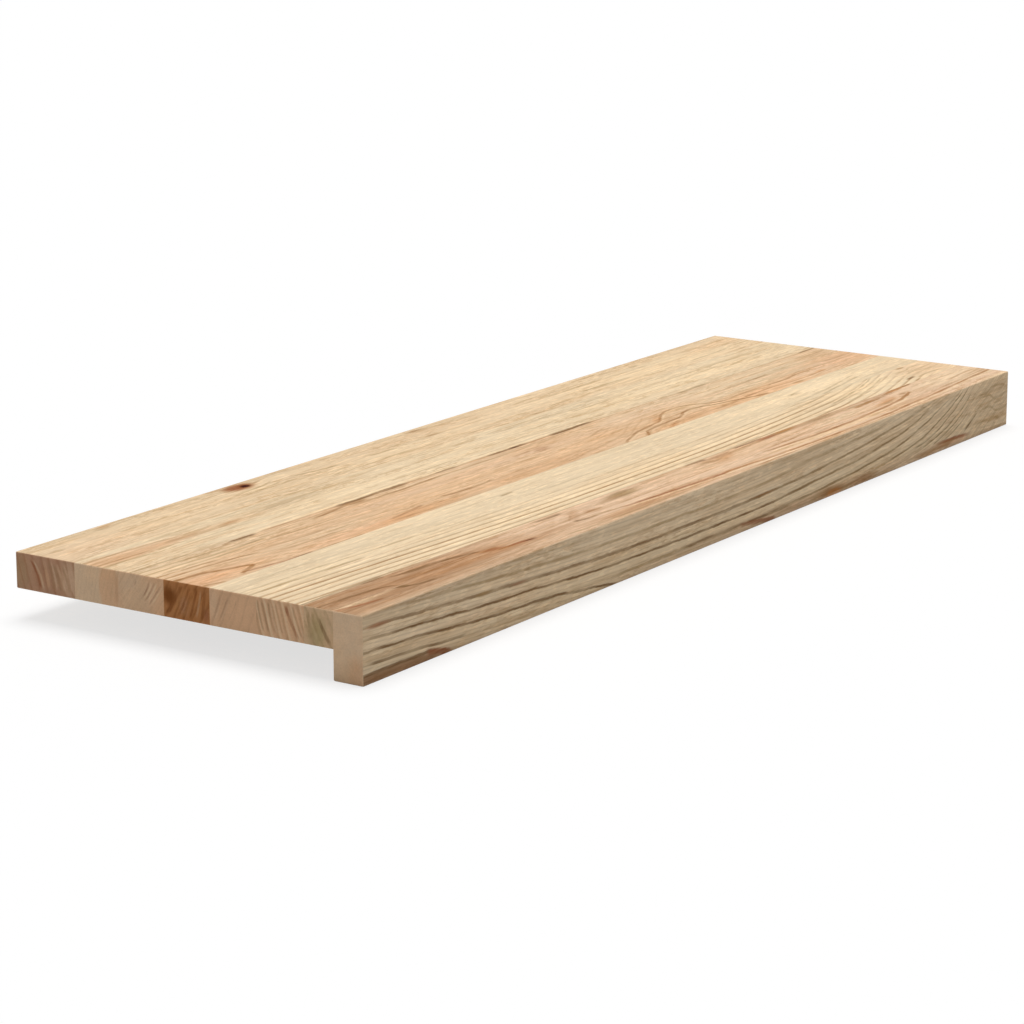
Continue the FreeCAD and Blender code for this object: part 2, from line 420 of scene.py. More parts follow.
STAVE_4 = Timber(
    slot="heart_oak",
    face_colour="heart",
    top_colour="heart",
    end_colour="walnut",
    seed=41.0,
    warmth=0.5,
    rings=(
        Rings(
            "clay", 6.4, lean=-0.5, start=1.0, strength=0.26, waver=2.4, end_colour="ember", end_strength=0.6,
            drift=(
                (0, 0), (60, 12), (145, 32), (300, 40), (420, 32), (500, 8), (555, -4), (600, 4), (650, 16),
                (730, 20), (800, 22),
            ),
        ),
    ),
    top_tints=(
        Patch("blush", (8, 131), (80, 15), 1.0),
        Patch("blush", (150, 138), (90, 10), 0.7),
        Patch("amber", (220, 138), (70, 9), 0.3),
        Patch("amber", (350, 136), (120, 11), 0.25),
        Patch("amber", (540, 138), (90, 8), 0.25),
        Patch("blush", (650, 136), (80, 10), 0.55),
        Patch("cream", (640, 118), (140, 12)),
        Patch("rose", (730, 128), (110, 16), 0.5),
        Patch("blush", (780, 126), (60, 22)),
        Patch("cream", (130, 122), (80, 8), 0.3),
        Patch("tan", (690, 120), (70, 10), 0.15),
    ),
    end_tints=(
        Patch("ember", (9, 115), (8, 7), 1.0, deep=8),
        Patch("brick", (17, 141.5), (7, 3.5), 0.7, deep=8),
        Patch("chestnut", (14, 126), (8, 5), 0.35, deep=8),
    ),
    top_marks=(
        Vein("umber", ((-10, 111.5), (40, 114), (80, 119)), 0.65, glint=0.6),
        Vein("umber", ((-10, 118.4), (4, 119.6), (18, 121), (32, 125.3), (44, 129.2), (55, 132.4)),
             1.0, wide=3.2, fade=4, relief=1.0),
        Vein("umber", ((33, 140.4), (44, 136.8), (56, 132)), 0.9, wide=2.8, fade=4),
        Vein("brick", ((36, 138.8), (58, 141.6), (78, 143.4), (100, 144)), 0.8, wide=2.0, fade=7),
        Vein("umber", ((-10, 138.6), (8, 141), (18, 144)), 0.8, wide=2.2, fade=5),
        Patch("bark", (87, 144), (11, 1.8), 0.7),
        Vein("umber", ((96, 143.6), (120, 143.8), (150, 143.4)), 0.5, wide=1.6, fade=8),
        Vein("clay", ((84, 115), (115, 117.5), (148, 118)), 0.45, glint=0.4),
        Vein("clay", ((72, 124), (110, 127), (150, 128)), 0.35, wide=1.6),
        Vein("clay", ((182, 136), (198, 134.6), (226, 131)), 0.65, wide=2.2, fade=6),
        Vein("umber", ((246, 126), (262, 129.4), (284, 130.4), (306, 127.4)),
             0.75, wide=2.0, fade=7, relief=1.0),
        Vein("clay", ((300, 127.6), (340, 126), (380, 125.4)), 0.35, wide=1.6, fade=14),
        Vein("umber", ((438, 144), (458, 136.5), (473, 132), (496, 128.6), (509, 126.6), (520, 121),
                       (532, 115.4), (545, 112.6), (555, 112.8), (563, 114.7), (572, 119), (580, 124),
                       (592, 128.5), (614, 131)), 0.75, wide=2.0, fade=8, relief=0.8, glint=0.6),
        Patch("amber", (514, 121.6), (14, 5), 0.4, tilt=-0.45, soft=0.7),
        Vein("umber", ((466, 145.6), (474, 140), (479, 136.5), (493, 133.6), (510, 132.3), (528, 131.2),
                       (536, 128.5), (545, 125), (558, 123.4), (566, 125.6), (575, 128.6), (586, 131.6),
                       (598, 134.4), (621, 140), (633, 142.8)), 0.8, wide=2.0, fade=4, relief=0.8, glint=0.6),
        Patch("umber", (474, 140.6), (9, 3), 0.55, tilt=-0.3),
        Patch("amber", (506, 140.4), (11, 3), 0.5, tilt=-0.2),
        Patch("umber", (626, 141), (12, 2.8), 0.55),
        Patch("umber", (680, 140.6), (12, 3)),
        Patch("amber", (725, 134), (10, 3), 0.5),
        Vein("clay", ((600, 129), (640, 127), (680, 128.4), (705, 126), (738, 130)), fade=10, glint=0.5),
        Vein("clay", ((610, 135), (650, 134), (690, 136), (736, 134.4)), fade=10, glint=0.5),
        Vein("clay", ((700, 141.6), (726, 138), (756, 137)), 0.45, wide=1.6, fade=10),
        Vein("clay", ((750, 118), (780, 120), (806, 119)), 0.45),
    ),
    end_marks=(
        Vein("ember", ((1, 124.4), (9, 119.8), (21, 112.6)), 0.8, wide=2.6, fade=3),
        Vein("amber", ((2, 126.4), (11, 122), (20, 116.4)), 0.7, wide=1.9, fade=4),
        Vein("ember", ((1, 130), (10, 126.4), (21, 121)), 0.7, wide=1.6, fade=3),
        Vein("amber", ((2, 132.6), (11, 129.6), (20, 125)), 0.7, wide=1.6, fade=4),
        Vein("ember", ((1, 135.4), (10, 133), (21, 129.6)), 0.7, wide=1.6, fade=3),
        Vein("heart", ((2, 138.2), (11, 136.4), (20, 134)), 0.35, wide=1.3, fade=4),
        Vein("ember", ((1, 141.6), (10, 139.6), (21, 137.8)), fade=3),
    ),
)

STAVE_5 = Timber(
    slot="cream_oak",
    face_colour="cream",
    top_colour="cream",
    end_colour="honey",
    seed=53.0,
    dashes=0.20,
    streaks=0.16,
    warmth=0.0,
    rings=(
        Rings("late", 6.4, lean=-0.4, strength=0.12, end_colour="chestnut", end_strength=0.3, waver=1.5,
              drift=((0, 0), (260, 9), (420, 10), (600, 3), (720, -14), (800, -22))),
    ),
    top_tints=(
        Patch("ivory", (690, 160), (210, 20)),
        Patch("ivory", (330, 152), (240, 8), 0.12),
        Patch("ivory", (60, 168), (120, 10), 0.2),
        Patch("straw", (780, 165), (40, 16)),
    ),
    end_tints=(
        Patch("sand", (9, 147), (14, 5), 0.4, deep=8),
    ),
    top_marks=(
        Vein("olive", ((267, 158), (286, 157.6)), 0.8, wide=2.2, fade=5),
        Patch("olive", (640, 159.4), (11, 3.6), 0.45),
        Vein("late", ((632, 162), (642, 157.6), (654, 157)), 0.4, wide=1.6, fade=5),
        Vein("late", ((-10, 165.6), (60, 167.4), (130, 171), (190, 174)), 0.45, fade=24, glint=0.7),
        Vein("late", ((-10, 172.4), (50, 174), (110, 176.6)), 0.75, wide=2.2, fade=16, glint=0.9),
        Vein("late", ((300, 171), (350, 170.4), (380, 172)), 0.35, wide=1.6, fade=10, glint=0.5),
        Vein("late", ((600, 176), (650, 172), (700, 165), (728, 160)), 0.4, fade=16, glint=0.6),
        Vein("late", ((650, 176.6), (690, 171), (726, 166.4)), 0.5, fade=10, glint=0.6),
    ),
    end_marks=(
        Vein("chestnut", ((2, 152), (10, 149.4), (20, 145.6)), 0.5, wide=1.1, fade=4, glint=0.3),
        Vein("chestnut", ((2, 158), (10, 154.4), (20, 149.4)), wide=1.2, fade=4, glint=0.3),
        Vein("chestnut", ((3, 164), (10, 161), (18, 157)), 0.4, wide=1.0, fade=4),
    ),
)

STAVE_6 = Timber(
    slot="striped_oak",
    face_colour="straw",
    top_colour="cream",
    end_colour="honey",
    seed=67.0,
    dashes=0.22,
    streaks=0.18,
    warmth=0.2,
    rings=(
        # Its pale setting paints a highlight band beside each growth line
        Rings(
            "umber", 6.2, lean=0.28, start=186.5, strength=0.85, share=0.36, waver=0.9, uneven=0.0, pale=0.9,
            end_colour="russet", end_strength=0.55, relief=1.0,
            drift=(
                (0, 0), (50, 2), (100, 4.5), (150, 7.3), (200, 9.3), (250, 11), (300, 11.7), (400, 11.7),
                (450, 11), (500, 9.7), (550, 7), (600, 3.7), (625, 1.8), (650, -1.5), (675, -5.7),
                (700, -11.6), (715, -15.5), (745, -24), (800, -40),
            ),
        ),
    ),
    top_tints=(
        Patch("ivory", (380, 192), (400, 22)),
        Patch("ivory", (690, 188), (80, 18), 0.5),
    ),
    top_marks=(
        Vein("cream", ((-10, 170.6), (100, 176), (200, 180.8), (300, 183.2), (400, 183.2), (500, 181.2),
                       (600, 175.2), (664, 168)), 0.85, wide=13.0, soft=1.0, fray=0.2, fade=40, relief=0.0),
        Patch("ivory", (690, 190), (80, 28), 0.55, soft=0.9),
        Vein("umber", ((-10, 186), (50, 188.5), (100, 191), (150, 193.8), (200, 195.8), (250, 197.5),
                       (300, 198.2), (400, 198.2), (450, 197.5), (500, 196.2), (550, 193.5), (600, 190.2),
                       (640, 186.6)), wide=1.3, fade=40, relief=1.0),
        Patch("straw", (806, 190), (90, 40), 0.9, soft=0.45, fray=0.12, deep=9),
        Patch("honey", (785, 192), (60, 24), 0.25),
        Vein("late", ((744, 182), (758, 186), (772, 183), (790, 186)), 0.5, fade=6, glint=0.5),
        Vein("late", ((746, 194), (764, 192), (780, 195), (800, 193)), 0.45, fade=6, glint=0.5),
        Vein("late", ((742, 206), (762, 203), (784, 205)), 0.45, fade=6, glint=0.4),
        Vein("late", ((618, 199.4), (660, 192.6), (700, 184), (728, 175)), 0.5, wide=1.5, glint=0.6),
        Vein("late", ((630, 205.6), (670, 198.6), (706, 190), (730, 182)), 0.5, wide=1.5, glint=0.6),
        Patch("umber", (764, 178.8), (9, 2.6), 0.7),
        Vein("bark", ((730, 202.6), (746, 200.6)), 0.9, wide=2.6, fade=4),
        Vein("late", ((750, 188), (775, 190), (804, 187)), 0.35, fade=10),
        Vein("late", ((752, 198), (772, 196), (790, 199)), 0.3, fade=8),
        Vein("bark", ((-10, 208.6), (40, 208.8), (80, 209)), 0.7, wide=2.2),
    ),
    end_marks=(
        Vein("brick", ((1, 197), (9, 200), (16, 203.6), (21, 206.4)), 0.8, wide=2.0, fade=3, glint=0.4),
        Vein("russet", ((1, 202), (10, 205), (20, 208.8)), 0.7, wide=1.4, fade=3, glint=0.4),
        Vein("russet", ((1, 181), (10, 183), (20, 186)), 0.7, wide=1.4, fade=3, glint=0.5),
        Vein("russet", ((1, 185), (10, 187), (20, 190)), 0.7, wide=1.4, fade=3, glint=0.5),
        Vein("russet", ((1, 178), (10, 179.4), (20, 182)), wide=1.2, fade=3, glint=0.5),
        Vein("russet", ((1, 190.6), (10, 192.6), (20, 195.6)), 0.5, wide=1.2, fade=3, glint=0.4),
    ),
)

STAVE_7 = Timber(
    slot="red_brown_oak",
    face_colour="rose",
    top_colour="rose",
    end_colour="fawn",
    seed=71.0,
    dashes=0.40,
    streaks=0.45,
    warmth=0.3,
    rings=(
        Rings("clay", 7.0, lean=0.6, strength=0.20, waver=2.0, end_colour="olive", end_strength=0.5,
              drift=((0, 0), (60, 4), (145, 15), (300, 22), (420, 22), (560, 14), (650, 4), (740, -10),
                     (800, -18))),
    ),
    top_tints=(
        Patch("russet", (10, 219), (240, 22), 0.9, soft=0.7),
        Patch("clay", (130, 227), (120, 11), 0.4),
        Patch("rose", (222, 221), (44, 16), 1.0),
        Patch("heart", (440, 218), (150, 14)),
        Patch("clay", (560, 212), (130, 6), 0.45),
        Patch("cream", (590, 224), (56, 9), 0.45),
        Patch("cream", (760, 221), (90, 18)),
    ),
    end_tints=(
        Patch("moss", (14, 219), (15, 9), 0.75, deep=8),
    ),
    top_marks=(
        Vein("bark", ((50, 209.6), (66, 211), (78, 214), (92, 216.8), (116, 217.6), (136, 221), (152, 225)),
             0.9, wide=2.8, fade=6, relief=1.0),
        Vein("blush", ((60, 210.6), (84, 213.4), (120, 214.6), (142, 220)), 0.5, wide=2.0, fade=8),
        Patch("clay", (156, 227.4), (18, 5), 0.8, tilt=0.12),
        Patch("brick", (159, 227.8), (12, 3), tilt=0.15, fray=0.5),
        Vein("bark", ((-10, 219), (28, 221), (52, 223.6), (64, 231)), 0.8, wide=2.2, fade=5),
        Vein("umber", ((-10, 213), (36, 214.4), (70, 219)), 0.5),
        Vein("umber", ((70, 222), (100, 225.4), (140, 227)), 0.45, fade=10),
        Patch("clay", (253, 222.4), (19, 8), 0.42, tilt=-0.55, soft=1.0),
        Patch("clay", (269, 223.6), (12, 4.4), 0.4, soft=1.0),
        Vein("bark", ((222, 212.2), (240, 213), (256, 213.4)), 0.8, wide=2.2, fade=9),
        Vein("umber", ((238, 229.4), (246, 224), (254, 219.6)), 0.4, wide=1.6, fade=5),
        Vein("umber", ((258, 225), (284, 225.4)), 0.65, wide=2.6, fade=7),
        Patch("olive", (317, 217), (25, 8), 1.0),
        Patch("umber", (300, 219), (22, 4), 0.35),
        Patch("amber", (440, 219.4), (23, 7), 0.5, tilt=-0.22, soft=1.0, fray=0.5),
        Patch("clay", (436, 214.6), (26, 3.2), 0.5, tilt=0.03, fray=0.6),
        Patch("umber", (424, 218), (16, 3.4), 0.55, tilt=0.15),
        Vein("bark", ((402, 210.4), (430, 212)), 0.85, wide=2.8, fade=6),
        Vein("bark", ((462, 210.8), (506, 211.4)), 0.85, wide=2.8, fade=8),
        Patch("brick", (509, 213), (21, 3.4), 0.8),
        Patch("late", (530, 211.8), (22, 4.6), 0.8),
        Patch("amber", (533, 211.4), (20, 3.6), fray=0.4),
        Patch("olive", (580, 213), (36, 3.8), 0.7),
        Vein("olive", ((604, 215), (656, 215.4)), 0.75, wide=2.8, fade=9),
        Vein("umber", ((620, 217.4), (648, 216), (672, 214.2), (692, 211.4), (722, 209.4)),
             0.9, wide=3.2, fade=6, fray=0.8),
        Patch("amber", (690, 211.6), (17, 3), tilt=-0.06, fray=0.5),
        Patch("amber", (656, 224.8), (26, 5.4), tilt=-0.14, soft=1.0, fray=0.6),
        Patch("olive", (652, 228), (18, 3), 0.5, fray=0.4),
        Vein("umber", ((650, 232.6), (664, 230.4), (678, 228), (688, 225.4), (695, 222.4)),
             0.85, wide=2.4, fade=3, fray=0.7),
        Patch("umber", (685, 222.4), (9, 2.4), fray=0.5),
        Vein("clay", ((250, 227.6), (330, 229), (420, 229)), 0.4, fade=24),
        Vein("clay", ((470, 229), (560, 228.5), (660, 229.2)), 0.45, fade=24),
        Vein("clay", ((742, 228), (760, 226), (800, 224)), 0.5, wide=2.0),
    ),
    end_marks=(
        Vein("olive", ((2, 212.4), (9, 213.6), (20, 216.6)), 0.7, wide=2.0, fade=4, glint=0.3),
        Vein("late", ((2, 216), (8, 216.6), (15, 219)), wide=1.6, fade=3),
        Vein("bark", ((4, 219.6), (11, 222.6), (21, 228)), 0.65, wide=2.6, fade=4, fray=0.8),
    ),
)

NOSING = Timber(
    slot="grey_tan_oak",
    face_colour="drab",
    top_colour="rose",
    end_colour="sand",
    seed=83.0,
    dashes=0.40,
    streaks=0.34,
    warmth=0.3,
    rings=(
        # Its pale setting paints a highlight band beside each growth line
        Rings(
            "late", 7.2, lean=-1.0, start=257.0, strength=0.0, side=0.28, share=0.45, waver=1.4, uneven=0.3,
            pale=0.5, end_colour="heart", end_strength=0.10,
            drift=(
                (0, 0), (50, 2.4), (100, 5.7), (150, 8.4), (200, 11), (250, 13.2), (300, 14), (400, 14.2),
                (450, 13.2), (500, 11.4), (550, 8.8), (600, 4.4), (650, -1.6), (675, -5.6), (700, -12),
                (725, -22), (745, -34), (800, -60),
            ),
        ),
        Rings(
            "late", 2.4, lean=-1.0, strength=0.10, side=0.34, waver=1.8, uneven=0.9, end_strength=0.0,
            relief=0.3,
            drift=((0, 0), (200, 11), (350, 14), (500, 11.4), (600, 4.4), (680, -6), (745, -30), (800, -60)),
        ),
    ),
    top_tints=(
        Patch("russet", (20, 235), (260, 14), 0.95, deep=5),
        Patch("clay", (150, 232), (140, 8), deep=5),
        Patch("russet", (60, 246), (200, 9), deep=5),
        Patch("clay", (340, 242), (160, 8), 0.55, deep=5),
        Patch("ivory", (560, 240), (150, 4), 0.5, deep=5),
        Patch("blush", (620, 238), (220, 6), 0.35, deep=5),
        Patch("straw", (770, 234), (60, 8), 0.5, deep=5),
    ),
    front_tints=(
        Patch("tan", (60, 3), (160, 7), 0.4),
        # Painted light: lightens the lower half of the front, which the shaded floor in front of it leaves
        # darker
        Patch("ivory", (420, 32), (700, 16), 0.55),
        Patch("blush", (120, 24), (120, 9), 0.16),
        Patch("rose", (520, 37), (360, 7), 0.45),
        Patch("straw", (785, 16), (56, 30), 0.75, soft=0.5),
    ),
    end_tints=(
        Patch("honey", (36, 246), (18, 9), 0.9, deep=8),
        Patch("heart", (34, 238), (16, 14), 0.3, deep=8),
    ),
    top_marks=(
        Patch("clay", (168, 230.6), (20, 3.6), 0.8, tilt=0.11),
        Patch("brick", (182, 232), (18, 2.4), 0.9, tilt=0.09, fray=0.4),
        Patch("knot", (189, 232.8), (9, 1.6), tilt=0.1),
        Vein("bark", ((52, 228.6), (60, 231.4), (66, 234.4), (74, 236.6), (88, 238)),
             0.9, wide=2.4, fade=4, relief=1.0),
        Vein("umber", ((80, 237.6), (110, 238.8), (152, 239.4)), 0.5),
        Patch("bark", (62, 231.4), (9, 4), 0.7, tilt=0.45),
        Vein("brick", ((-8, 230.4), (8, 233), (20, 236), (38, 238)), 0.85, wide=2.4, fade=6),
        Vein("umber", ((-10, 241), (60, 243), (140, 242.6), (220, 240)), 0.4, fade=20),
        Vein("bark", ((238, 230.6), (250, 232.8), (264, 233.6)), 0.8, wide=2.4, fade=5),
        Vein("umber", ((252, 233), (272, 234), (298, 235.6)), fade=8),
        Vein("brick", ((284, 235.4), (310, 237), (340, 238.8), (375, 240.6), (412, 242)),
             0.75, wide=2.0, fade=10, glint=0.9),
        Vein("clay", ((398, 240.8), (430, 242), (454, 243.6), (490, 244.6), (534, 245.5), (567, 245.6),
                      (633, 244.6), (660, 242.6), (700, 241.2), (730, 239), (774, 236), (806, 234.4)),
             0.9, wide=2.2, fade=10, glint=0.8),
        Vein("clay", ((466, 233), (499, 234.4), (543, 236), (579, 235.8), (609, 234.6), (633, 233.2),
                      (656, 231.6), (676, 228.6)), 0.9, wide=2.2, fade=8, glint=0.8),
        Vein("clay", ((700, 236.4), (740, 234.4), (806, 231.4)), 0.45, glint=0.6),
        Vein("late", ((200, 245), (300, 246.6), (380, 247.4)), 0.5, wide=2.0, fade=24),
        Vein("clay", ((420, 247.8), (560, 248.4), (700, 246.8)), fade=20, glint=0.5),
    ),
    front_marks=(
        Vein("late", ((70, 3.6), (112, 6.4), (150, 8.6), (200, 10.7), (250, 12.1), (325, 12.9), (400, 13.6),
                      (437, 12.9), (475, 10.7), (512, 8.6), (562, 7.4), (620, 4)), 0.55, fade=30, glint=0.4),
        Vein("bark", ((-10, 6.8), (25, 8.2), (50, 9.7), (75, 11.1), (100, 12.8), (150, 15.1), (200, 17.9),
                      (250, 20), (300, 20.8), (400, 20.9), (470, 19.7)),
             0.75, fade=40, fray=0.8, relief=1.0, glint=0.6),
        Vein("dusk", ((400, 20.9), (450, 20), (482, 19.4), (512, 17.9), (540, 16.1), (575, 13.6), (600, 11.1),
                      (625, 8.6), (650, 5.3), (682, 0)),
             0.75, wide=1.4, fade=40, fray=0.8, relief=1.0, glint=0.8),
        Patch("brick", (14, 8), (16, 2.2), 0.7),
        Patch("late", (116, 13.8), (13, 2), 0.8),
        Patch("brick", (152, 15.6), (12, 1.4), 0.5),
        Patch("clay", (438, 20), (22, 1.6), 0.4),
        Vein("bark", ((-10, 13.4), (37, 16), (75, 18.2), (112, 20.6), (150, 22.2), (187, 23.7), (212, 25.3),
                      (232, 26.4), (262, 27.2), (325, 28.1), (400, 28.4), (450, 27.8), (520, 24.3)),
             0.95, wide=1.3, fade=40, fray=0.9, relief=1.0, glint=0.7),
        Vein("dusk", ((440, 28), (512, 24.6), (550, 23.2), (580, 21.3), (600, 19.3), (625, 16.4), (650, 12.1),
                      (667, 7.1), (686, 0)), 0.85, wide=1.3, fade=40, fray=0.9, relief=1.0, glint=0.7),
        Vein("bark", ((-10, 20.8), (25, 22.1), (62, 24.3), (87, 26.4), (112, 28.3), (137, 29.7), (162, 30.4),
                      (187, 31.7), (212, 34.3), (237, 36.9), (262, 40)),
             0.95, wide=1.4, fray=0.9, relief=1.0, glint=0.7),
        Patch("bark", (180, 31.6), (30, 2.2), 0.5, tilt=0.05),
        Vein("dusk", ((440, 34), (500, 32.8), (545, 30.7), (580, 28.6), (612, 25.7), (637, 22.1), (662, 16.4),
                      (687, 9.3), (714, 0)), 0.85, wide=1.3, fade=40, fray=0.8, relief=0.8, glint=0.6),
        Vein("bark", ((4, 28.8), (50, 30.4), (75, 32.4), (100, 33.8)), 0.85, wide=1.5, fade=8, glint=0.4),
        Vein("dusk", ((610, 32), (645, 27.9), (670, 22.9), (695, 15), (715, 7.1), (730, 0)),
             0.8, wide=1.2, fade=10, glint=0.6),
        Vein("dusk", ((650, 30.7), (680, 25.7), (700, 18.6), (722, 8.6), (736, 0)),
             0.75, wide=1.1, fade=8, glint=0.6),
        Vein("dusk", ((663, 32), (692, 26.4), (712, 20), (730, 12.1), (740, 4)),
             0.75, wide=1.1, fade=6, glint=0.6),
        Vein("dusk", ((678, 33), (707, 25.7), (725, 18.6), (740, 11)), 0.7, wide=1.1, fade=6, glint=0.6),
        Vein("dusk", ((696, 32.6), (718, 27), (736, 18)), 0.7, wide=1.1, fade=6, glint=0.5),
        Vein("bark", ((728, 32), (742, 26), (750, 22)), 0.8, fade=5),
        Vein("late", ((748, 6), (762, 10), (776, 7), (798, 11)), 0.5, fade=6),
        Vein("late", ((750, 15), (766, 12), (780, 16), (804, 13)), 0.45, fade=6),
        Vein("late", ((752, 25), (768, 21), (784, 26), (804, 22)), 0.45, fade=6),
        Vein("late", ((744, 34), (764, 30), (790, 33)), 0.4, wide=1.6, fade=6),
        Patch("russet", (20, 38.6), (74, 6), 1.0, soft=0.45, fray=0.12),
        Vein("bark", ((-10, 34.2), (30, 34.4), (66, 34.6)), 0.85, fade=6),
        Vein("brick", ((58, 34.2), (70, 36.6), (86, 41)), 1.0, wide=4.0, fade=5),
        Vein("late", ((250, 34.6), (300, 34.5), (360, 34.5)), 0.65, wide=1.6, fade=20),
        Vein("bark", ((330, 34.5), (400, 34.5), (476, 34.4)), 0.85, wide=1.7, fade=20),
        Vein("brick", ((406, 34.6), (428, 36.6), (456, 39.4)), 0.85, wide=3.0, fade=6),
        Patch("russet", (480, 37), (40, 4), 0.45),
        Patch("umber", (528, 36.6), (33, 5.6), 0.75),
        Patch("amber", (533, 37.6), (14, 3), 1.0, soft=0.6),
        Vein("honey", ((516, 39.2), (548, 38.4)), 0.8, wide=1.4, fade=6),
        Patch("clay", (575, 37), (28, 4)),
        Patch("clay", (672, 37), (32, 3.4)),
        Vein("brick", ((680, 33.2), (704, 34), (744, 35.6)), 0.95, wide=2.4, fade=18, fray=0.8),
        Patch("clay", (700, 36), (26, 3.6), 0.75, tilt=0.04, fray=0.4),
        Patch("blush", (720, 37), (18, 2.2)),
        # Painted shade along the front's lowest edge, where the rounded arris turns down towards the floor
        Patch("late", (400, 40.6), (560, 1.6), 0.4),
    ),
)

TIMBERS = dict(zip(STAVE_NODES, (STAVE_1, STAVE_2, STAVE_3, STAVE_4, STAVE_5, STAVE_6, STAVE_7)))
TIMBERS[NOSING_NODE] = NOSING


# Drawing nodes

class Cell(NamedTuple):
    """A noise's spots: their size along and across the grain in millimetres, how finely they break up, and
    the levels between which they come in."""

    along: float
    across: float
    detail: float
    levels: tuple = (0.0, 1.0)


class Graph:
    """A node tree that is being drawn. Each call adds nodes and gives what to link on from."""

    def __init__(self, tree):
        self.tree = tree

    def add(self, kind, inputs=None, **settings):
        """A new node, with each input linked to another node's output or set to a plain value."""
        node = self.tree.nodes.new(kind)
        for name, value in settings.items():
            setattr(node, name, value)
        for key, value in (inputs or {}).items():
            if isinstance(value, bpy.types.NodeSocket):
                self.tree.links.new(value, node.inputs[key])
            else:
                node.inputs[key].default_value = value
        return node

    def group(self, tree, inputs):
        kind = "GeometryNodeGroup" if tree.bl_idname == "GeometryNodeTree" else "ShaderNodeGroup"
        return self.add(kind, inputs, node_tree=tree).outputs

    def math(self, operation, *values):
        return self.add("ShaderNodeMath", dict(enumerate(values)), operation=operation).outputs[0]

    def product(self, *values):
        return functools.reduce(functools.partial(self.math, "MULTIPLY"), values)

    def total(self, start, *weighted):
        """A start with more values added, each times its weight."""
        for value, weight in weighted:
            start = self.math("MULTIPLY_ADD", value, weight, start)
        return start

    def vector(self, operation, *values):
        node = self.add("ShaderNodeVectorMath", dict(enumerate(values)), operation=operation)
        return node.outputs["Value" if operation == "LENGTH" else "Vector"]

    def scale(self, vector, factor):
        node = self.add("ShaderNodeVectorMath", {0: vector, "Scale": factor}, operation="SCALE")
        return node.outputs["Vector"]

    def parts(self, vector):
        return self.add("ShaderNodeSeparateXYZ", {0: vector}).outputs

    def join(self, x, y, z):
        return self.add("ShaderNodeCombineXYZ", {0: x, 1: y, 2: z}).outputs[0]

    def span(self, value, low, high, to_low=0.0, to_high=1.0, smooth=False):
        """A value carried from one range to another, held at the ends."""
        node = self.add(
            "ShaderNodeMapRange",
            {"Value": value, "From Min": low, "From Max": high, "To Min": to_low, "To Max": to_high},
            interpolation_type="SMOOTHSTEP" if smooth else "LINEAR",
        )
        return node.outputs["Result"]

    def rise(self, value, low, high):
        """Nought up to the low end and one from the high end, smooth between."""
        return self.span(value, low, high, smooth=True)

    def fade(self, value, low, high):
        """One up to the low end and nought from the high end, smooth between."""
        return self.span(value, low, high, 1.0, 0.0, smooth=True)

    def noise(self, spot, cell):
        """Noise from nought to one."""
        small = self.vector("DIVIDE", spot, (cell.along, cell.across, cell.across))
        node = self.add("ShaderNodeTexNoise", {"Vector": small, "Scale": 1.0, "Detail": cell.detail})
        return node.outputs[0]

    def swing(self, spot, cell):
        """Noise from a half below nought to a half above."""
        return self.math("SUBTRACT", self.noise(spot, cell), 0.5)

    def spots(self, spot, cell, least=0.0, smooth=True):
        """Where a noise passes its levels, from the least value up to one."""
        return self.span(self.noise(spot, cell), *cell.levels, least, 1.0, smooth)

    def curve(self, value, points):
        """A smooth line through points of (value, result)."""
        starts, results = zip(*points)
        low, high = min(results) - 1.0, max(results) + 1.0
        node = self.add("ShaderNodeFloatCurve", {"Value": self.span(value, starts[0], starts[-1])})
        line = node.mapping.curves[0]
        while len(line.points) < len(points):
            line.points.new(0.5, 0.5)
        for knot, (start, result) in zip(line.points, points):
            knot.location = ((start - starts[0]) / (starts[-1] - starts[0]), (result - low) / (high - low))
        node.mapping.update()
        return self.span(node.outputs[0], 0.0, 1.0, low, high)

    def mix(self, factor, one, other, blend="MIX"):
        """Two colours mixed, through the sockets that serve a mix node's colours."""
        node = self.add("ShaderNodeMix", {0: factor, 6: one, 7: other}, data_type="RGBA", blend_type=blend)
        return node.outputs[2]

    def mix_shaders(self, factor, one, other):
        inputs = {0: factor, 1: one.outputs[0], 2: other.outputs[0]}
        return self.add("ShaderNodeMixShader", inputs)


def fresh_graph(owner):
    """The emptied node tree of a material or a world."""
    owner.use_nodes = True
    owner.node_tree.nodes.clear()
    return Graph(owner.node_tree)


class Recipe(NamedTuple):
    """A node group that the timbers share: what draws it, the vectors and numbers that it takes, and the
    settings of a mark, of rings or of a timber that it also takes."""

    name: str
    draw: Callable
    vectors: tuple
    numbers: tuple = ()
    settings: tuple = ()


def shared_group(recipe, tree_type):
    """A recipe's group for shaders or for geometry, drawn the first time that it is asked for."""
    name = f"{recipe.name} Relief" if tree_type == "GeometryNodeTree" else recipe.name
    tree = bpy.data.node_groups.get(name)
    if tree:
        return tree
    tree = bpy.data.node_groups.new(name, tree_type)
    for title in recipe.vectors:
        tree.interface.new_socket(title, in_out="INPUT", socket_type="NodeSocketVector")
    for title in (*recipe.numbers, *recipe.settings):
        tree.interface.new_socket(title, in_out="INPUT", socket_type="NodeSocketFloat")
    graph = Graph(tree)
    results = recipe.draw(graph, graph.add("NodeGroupInput").outputs)
    for title, socket in results.items():
        kind = "NodeSocketVector" if socket.type == "VECTOR" else "NodeSocketFloat"
        tree.interface.new_socket(title, in_out="OUTPUT", socket_type=kind)
    graph.add("NodeGroupOutput", results)
    return tree


# Groups that the timbers share

# How squarely a face has to look one way for its figure to start to show, and to show fully
FACING_LEVELS = (0.55, 0.85)


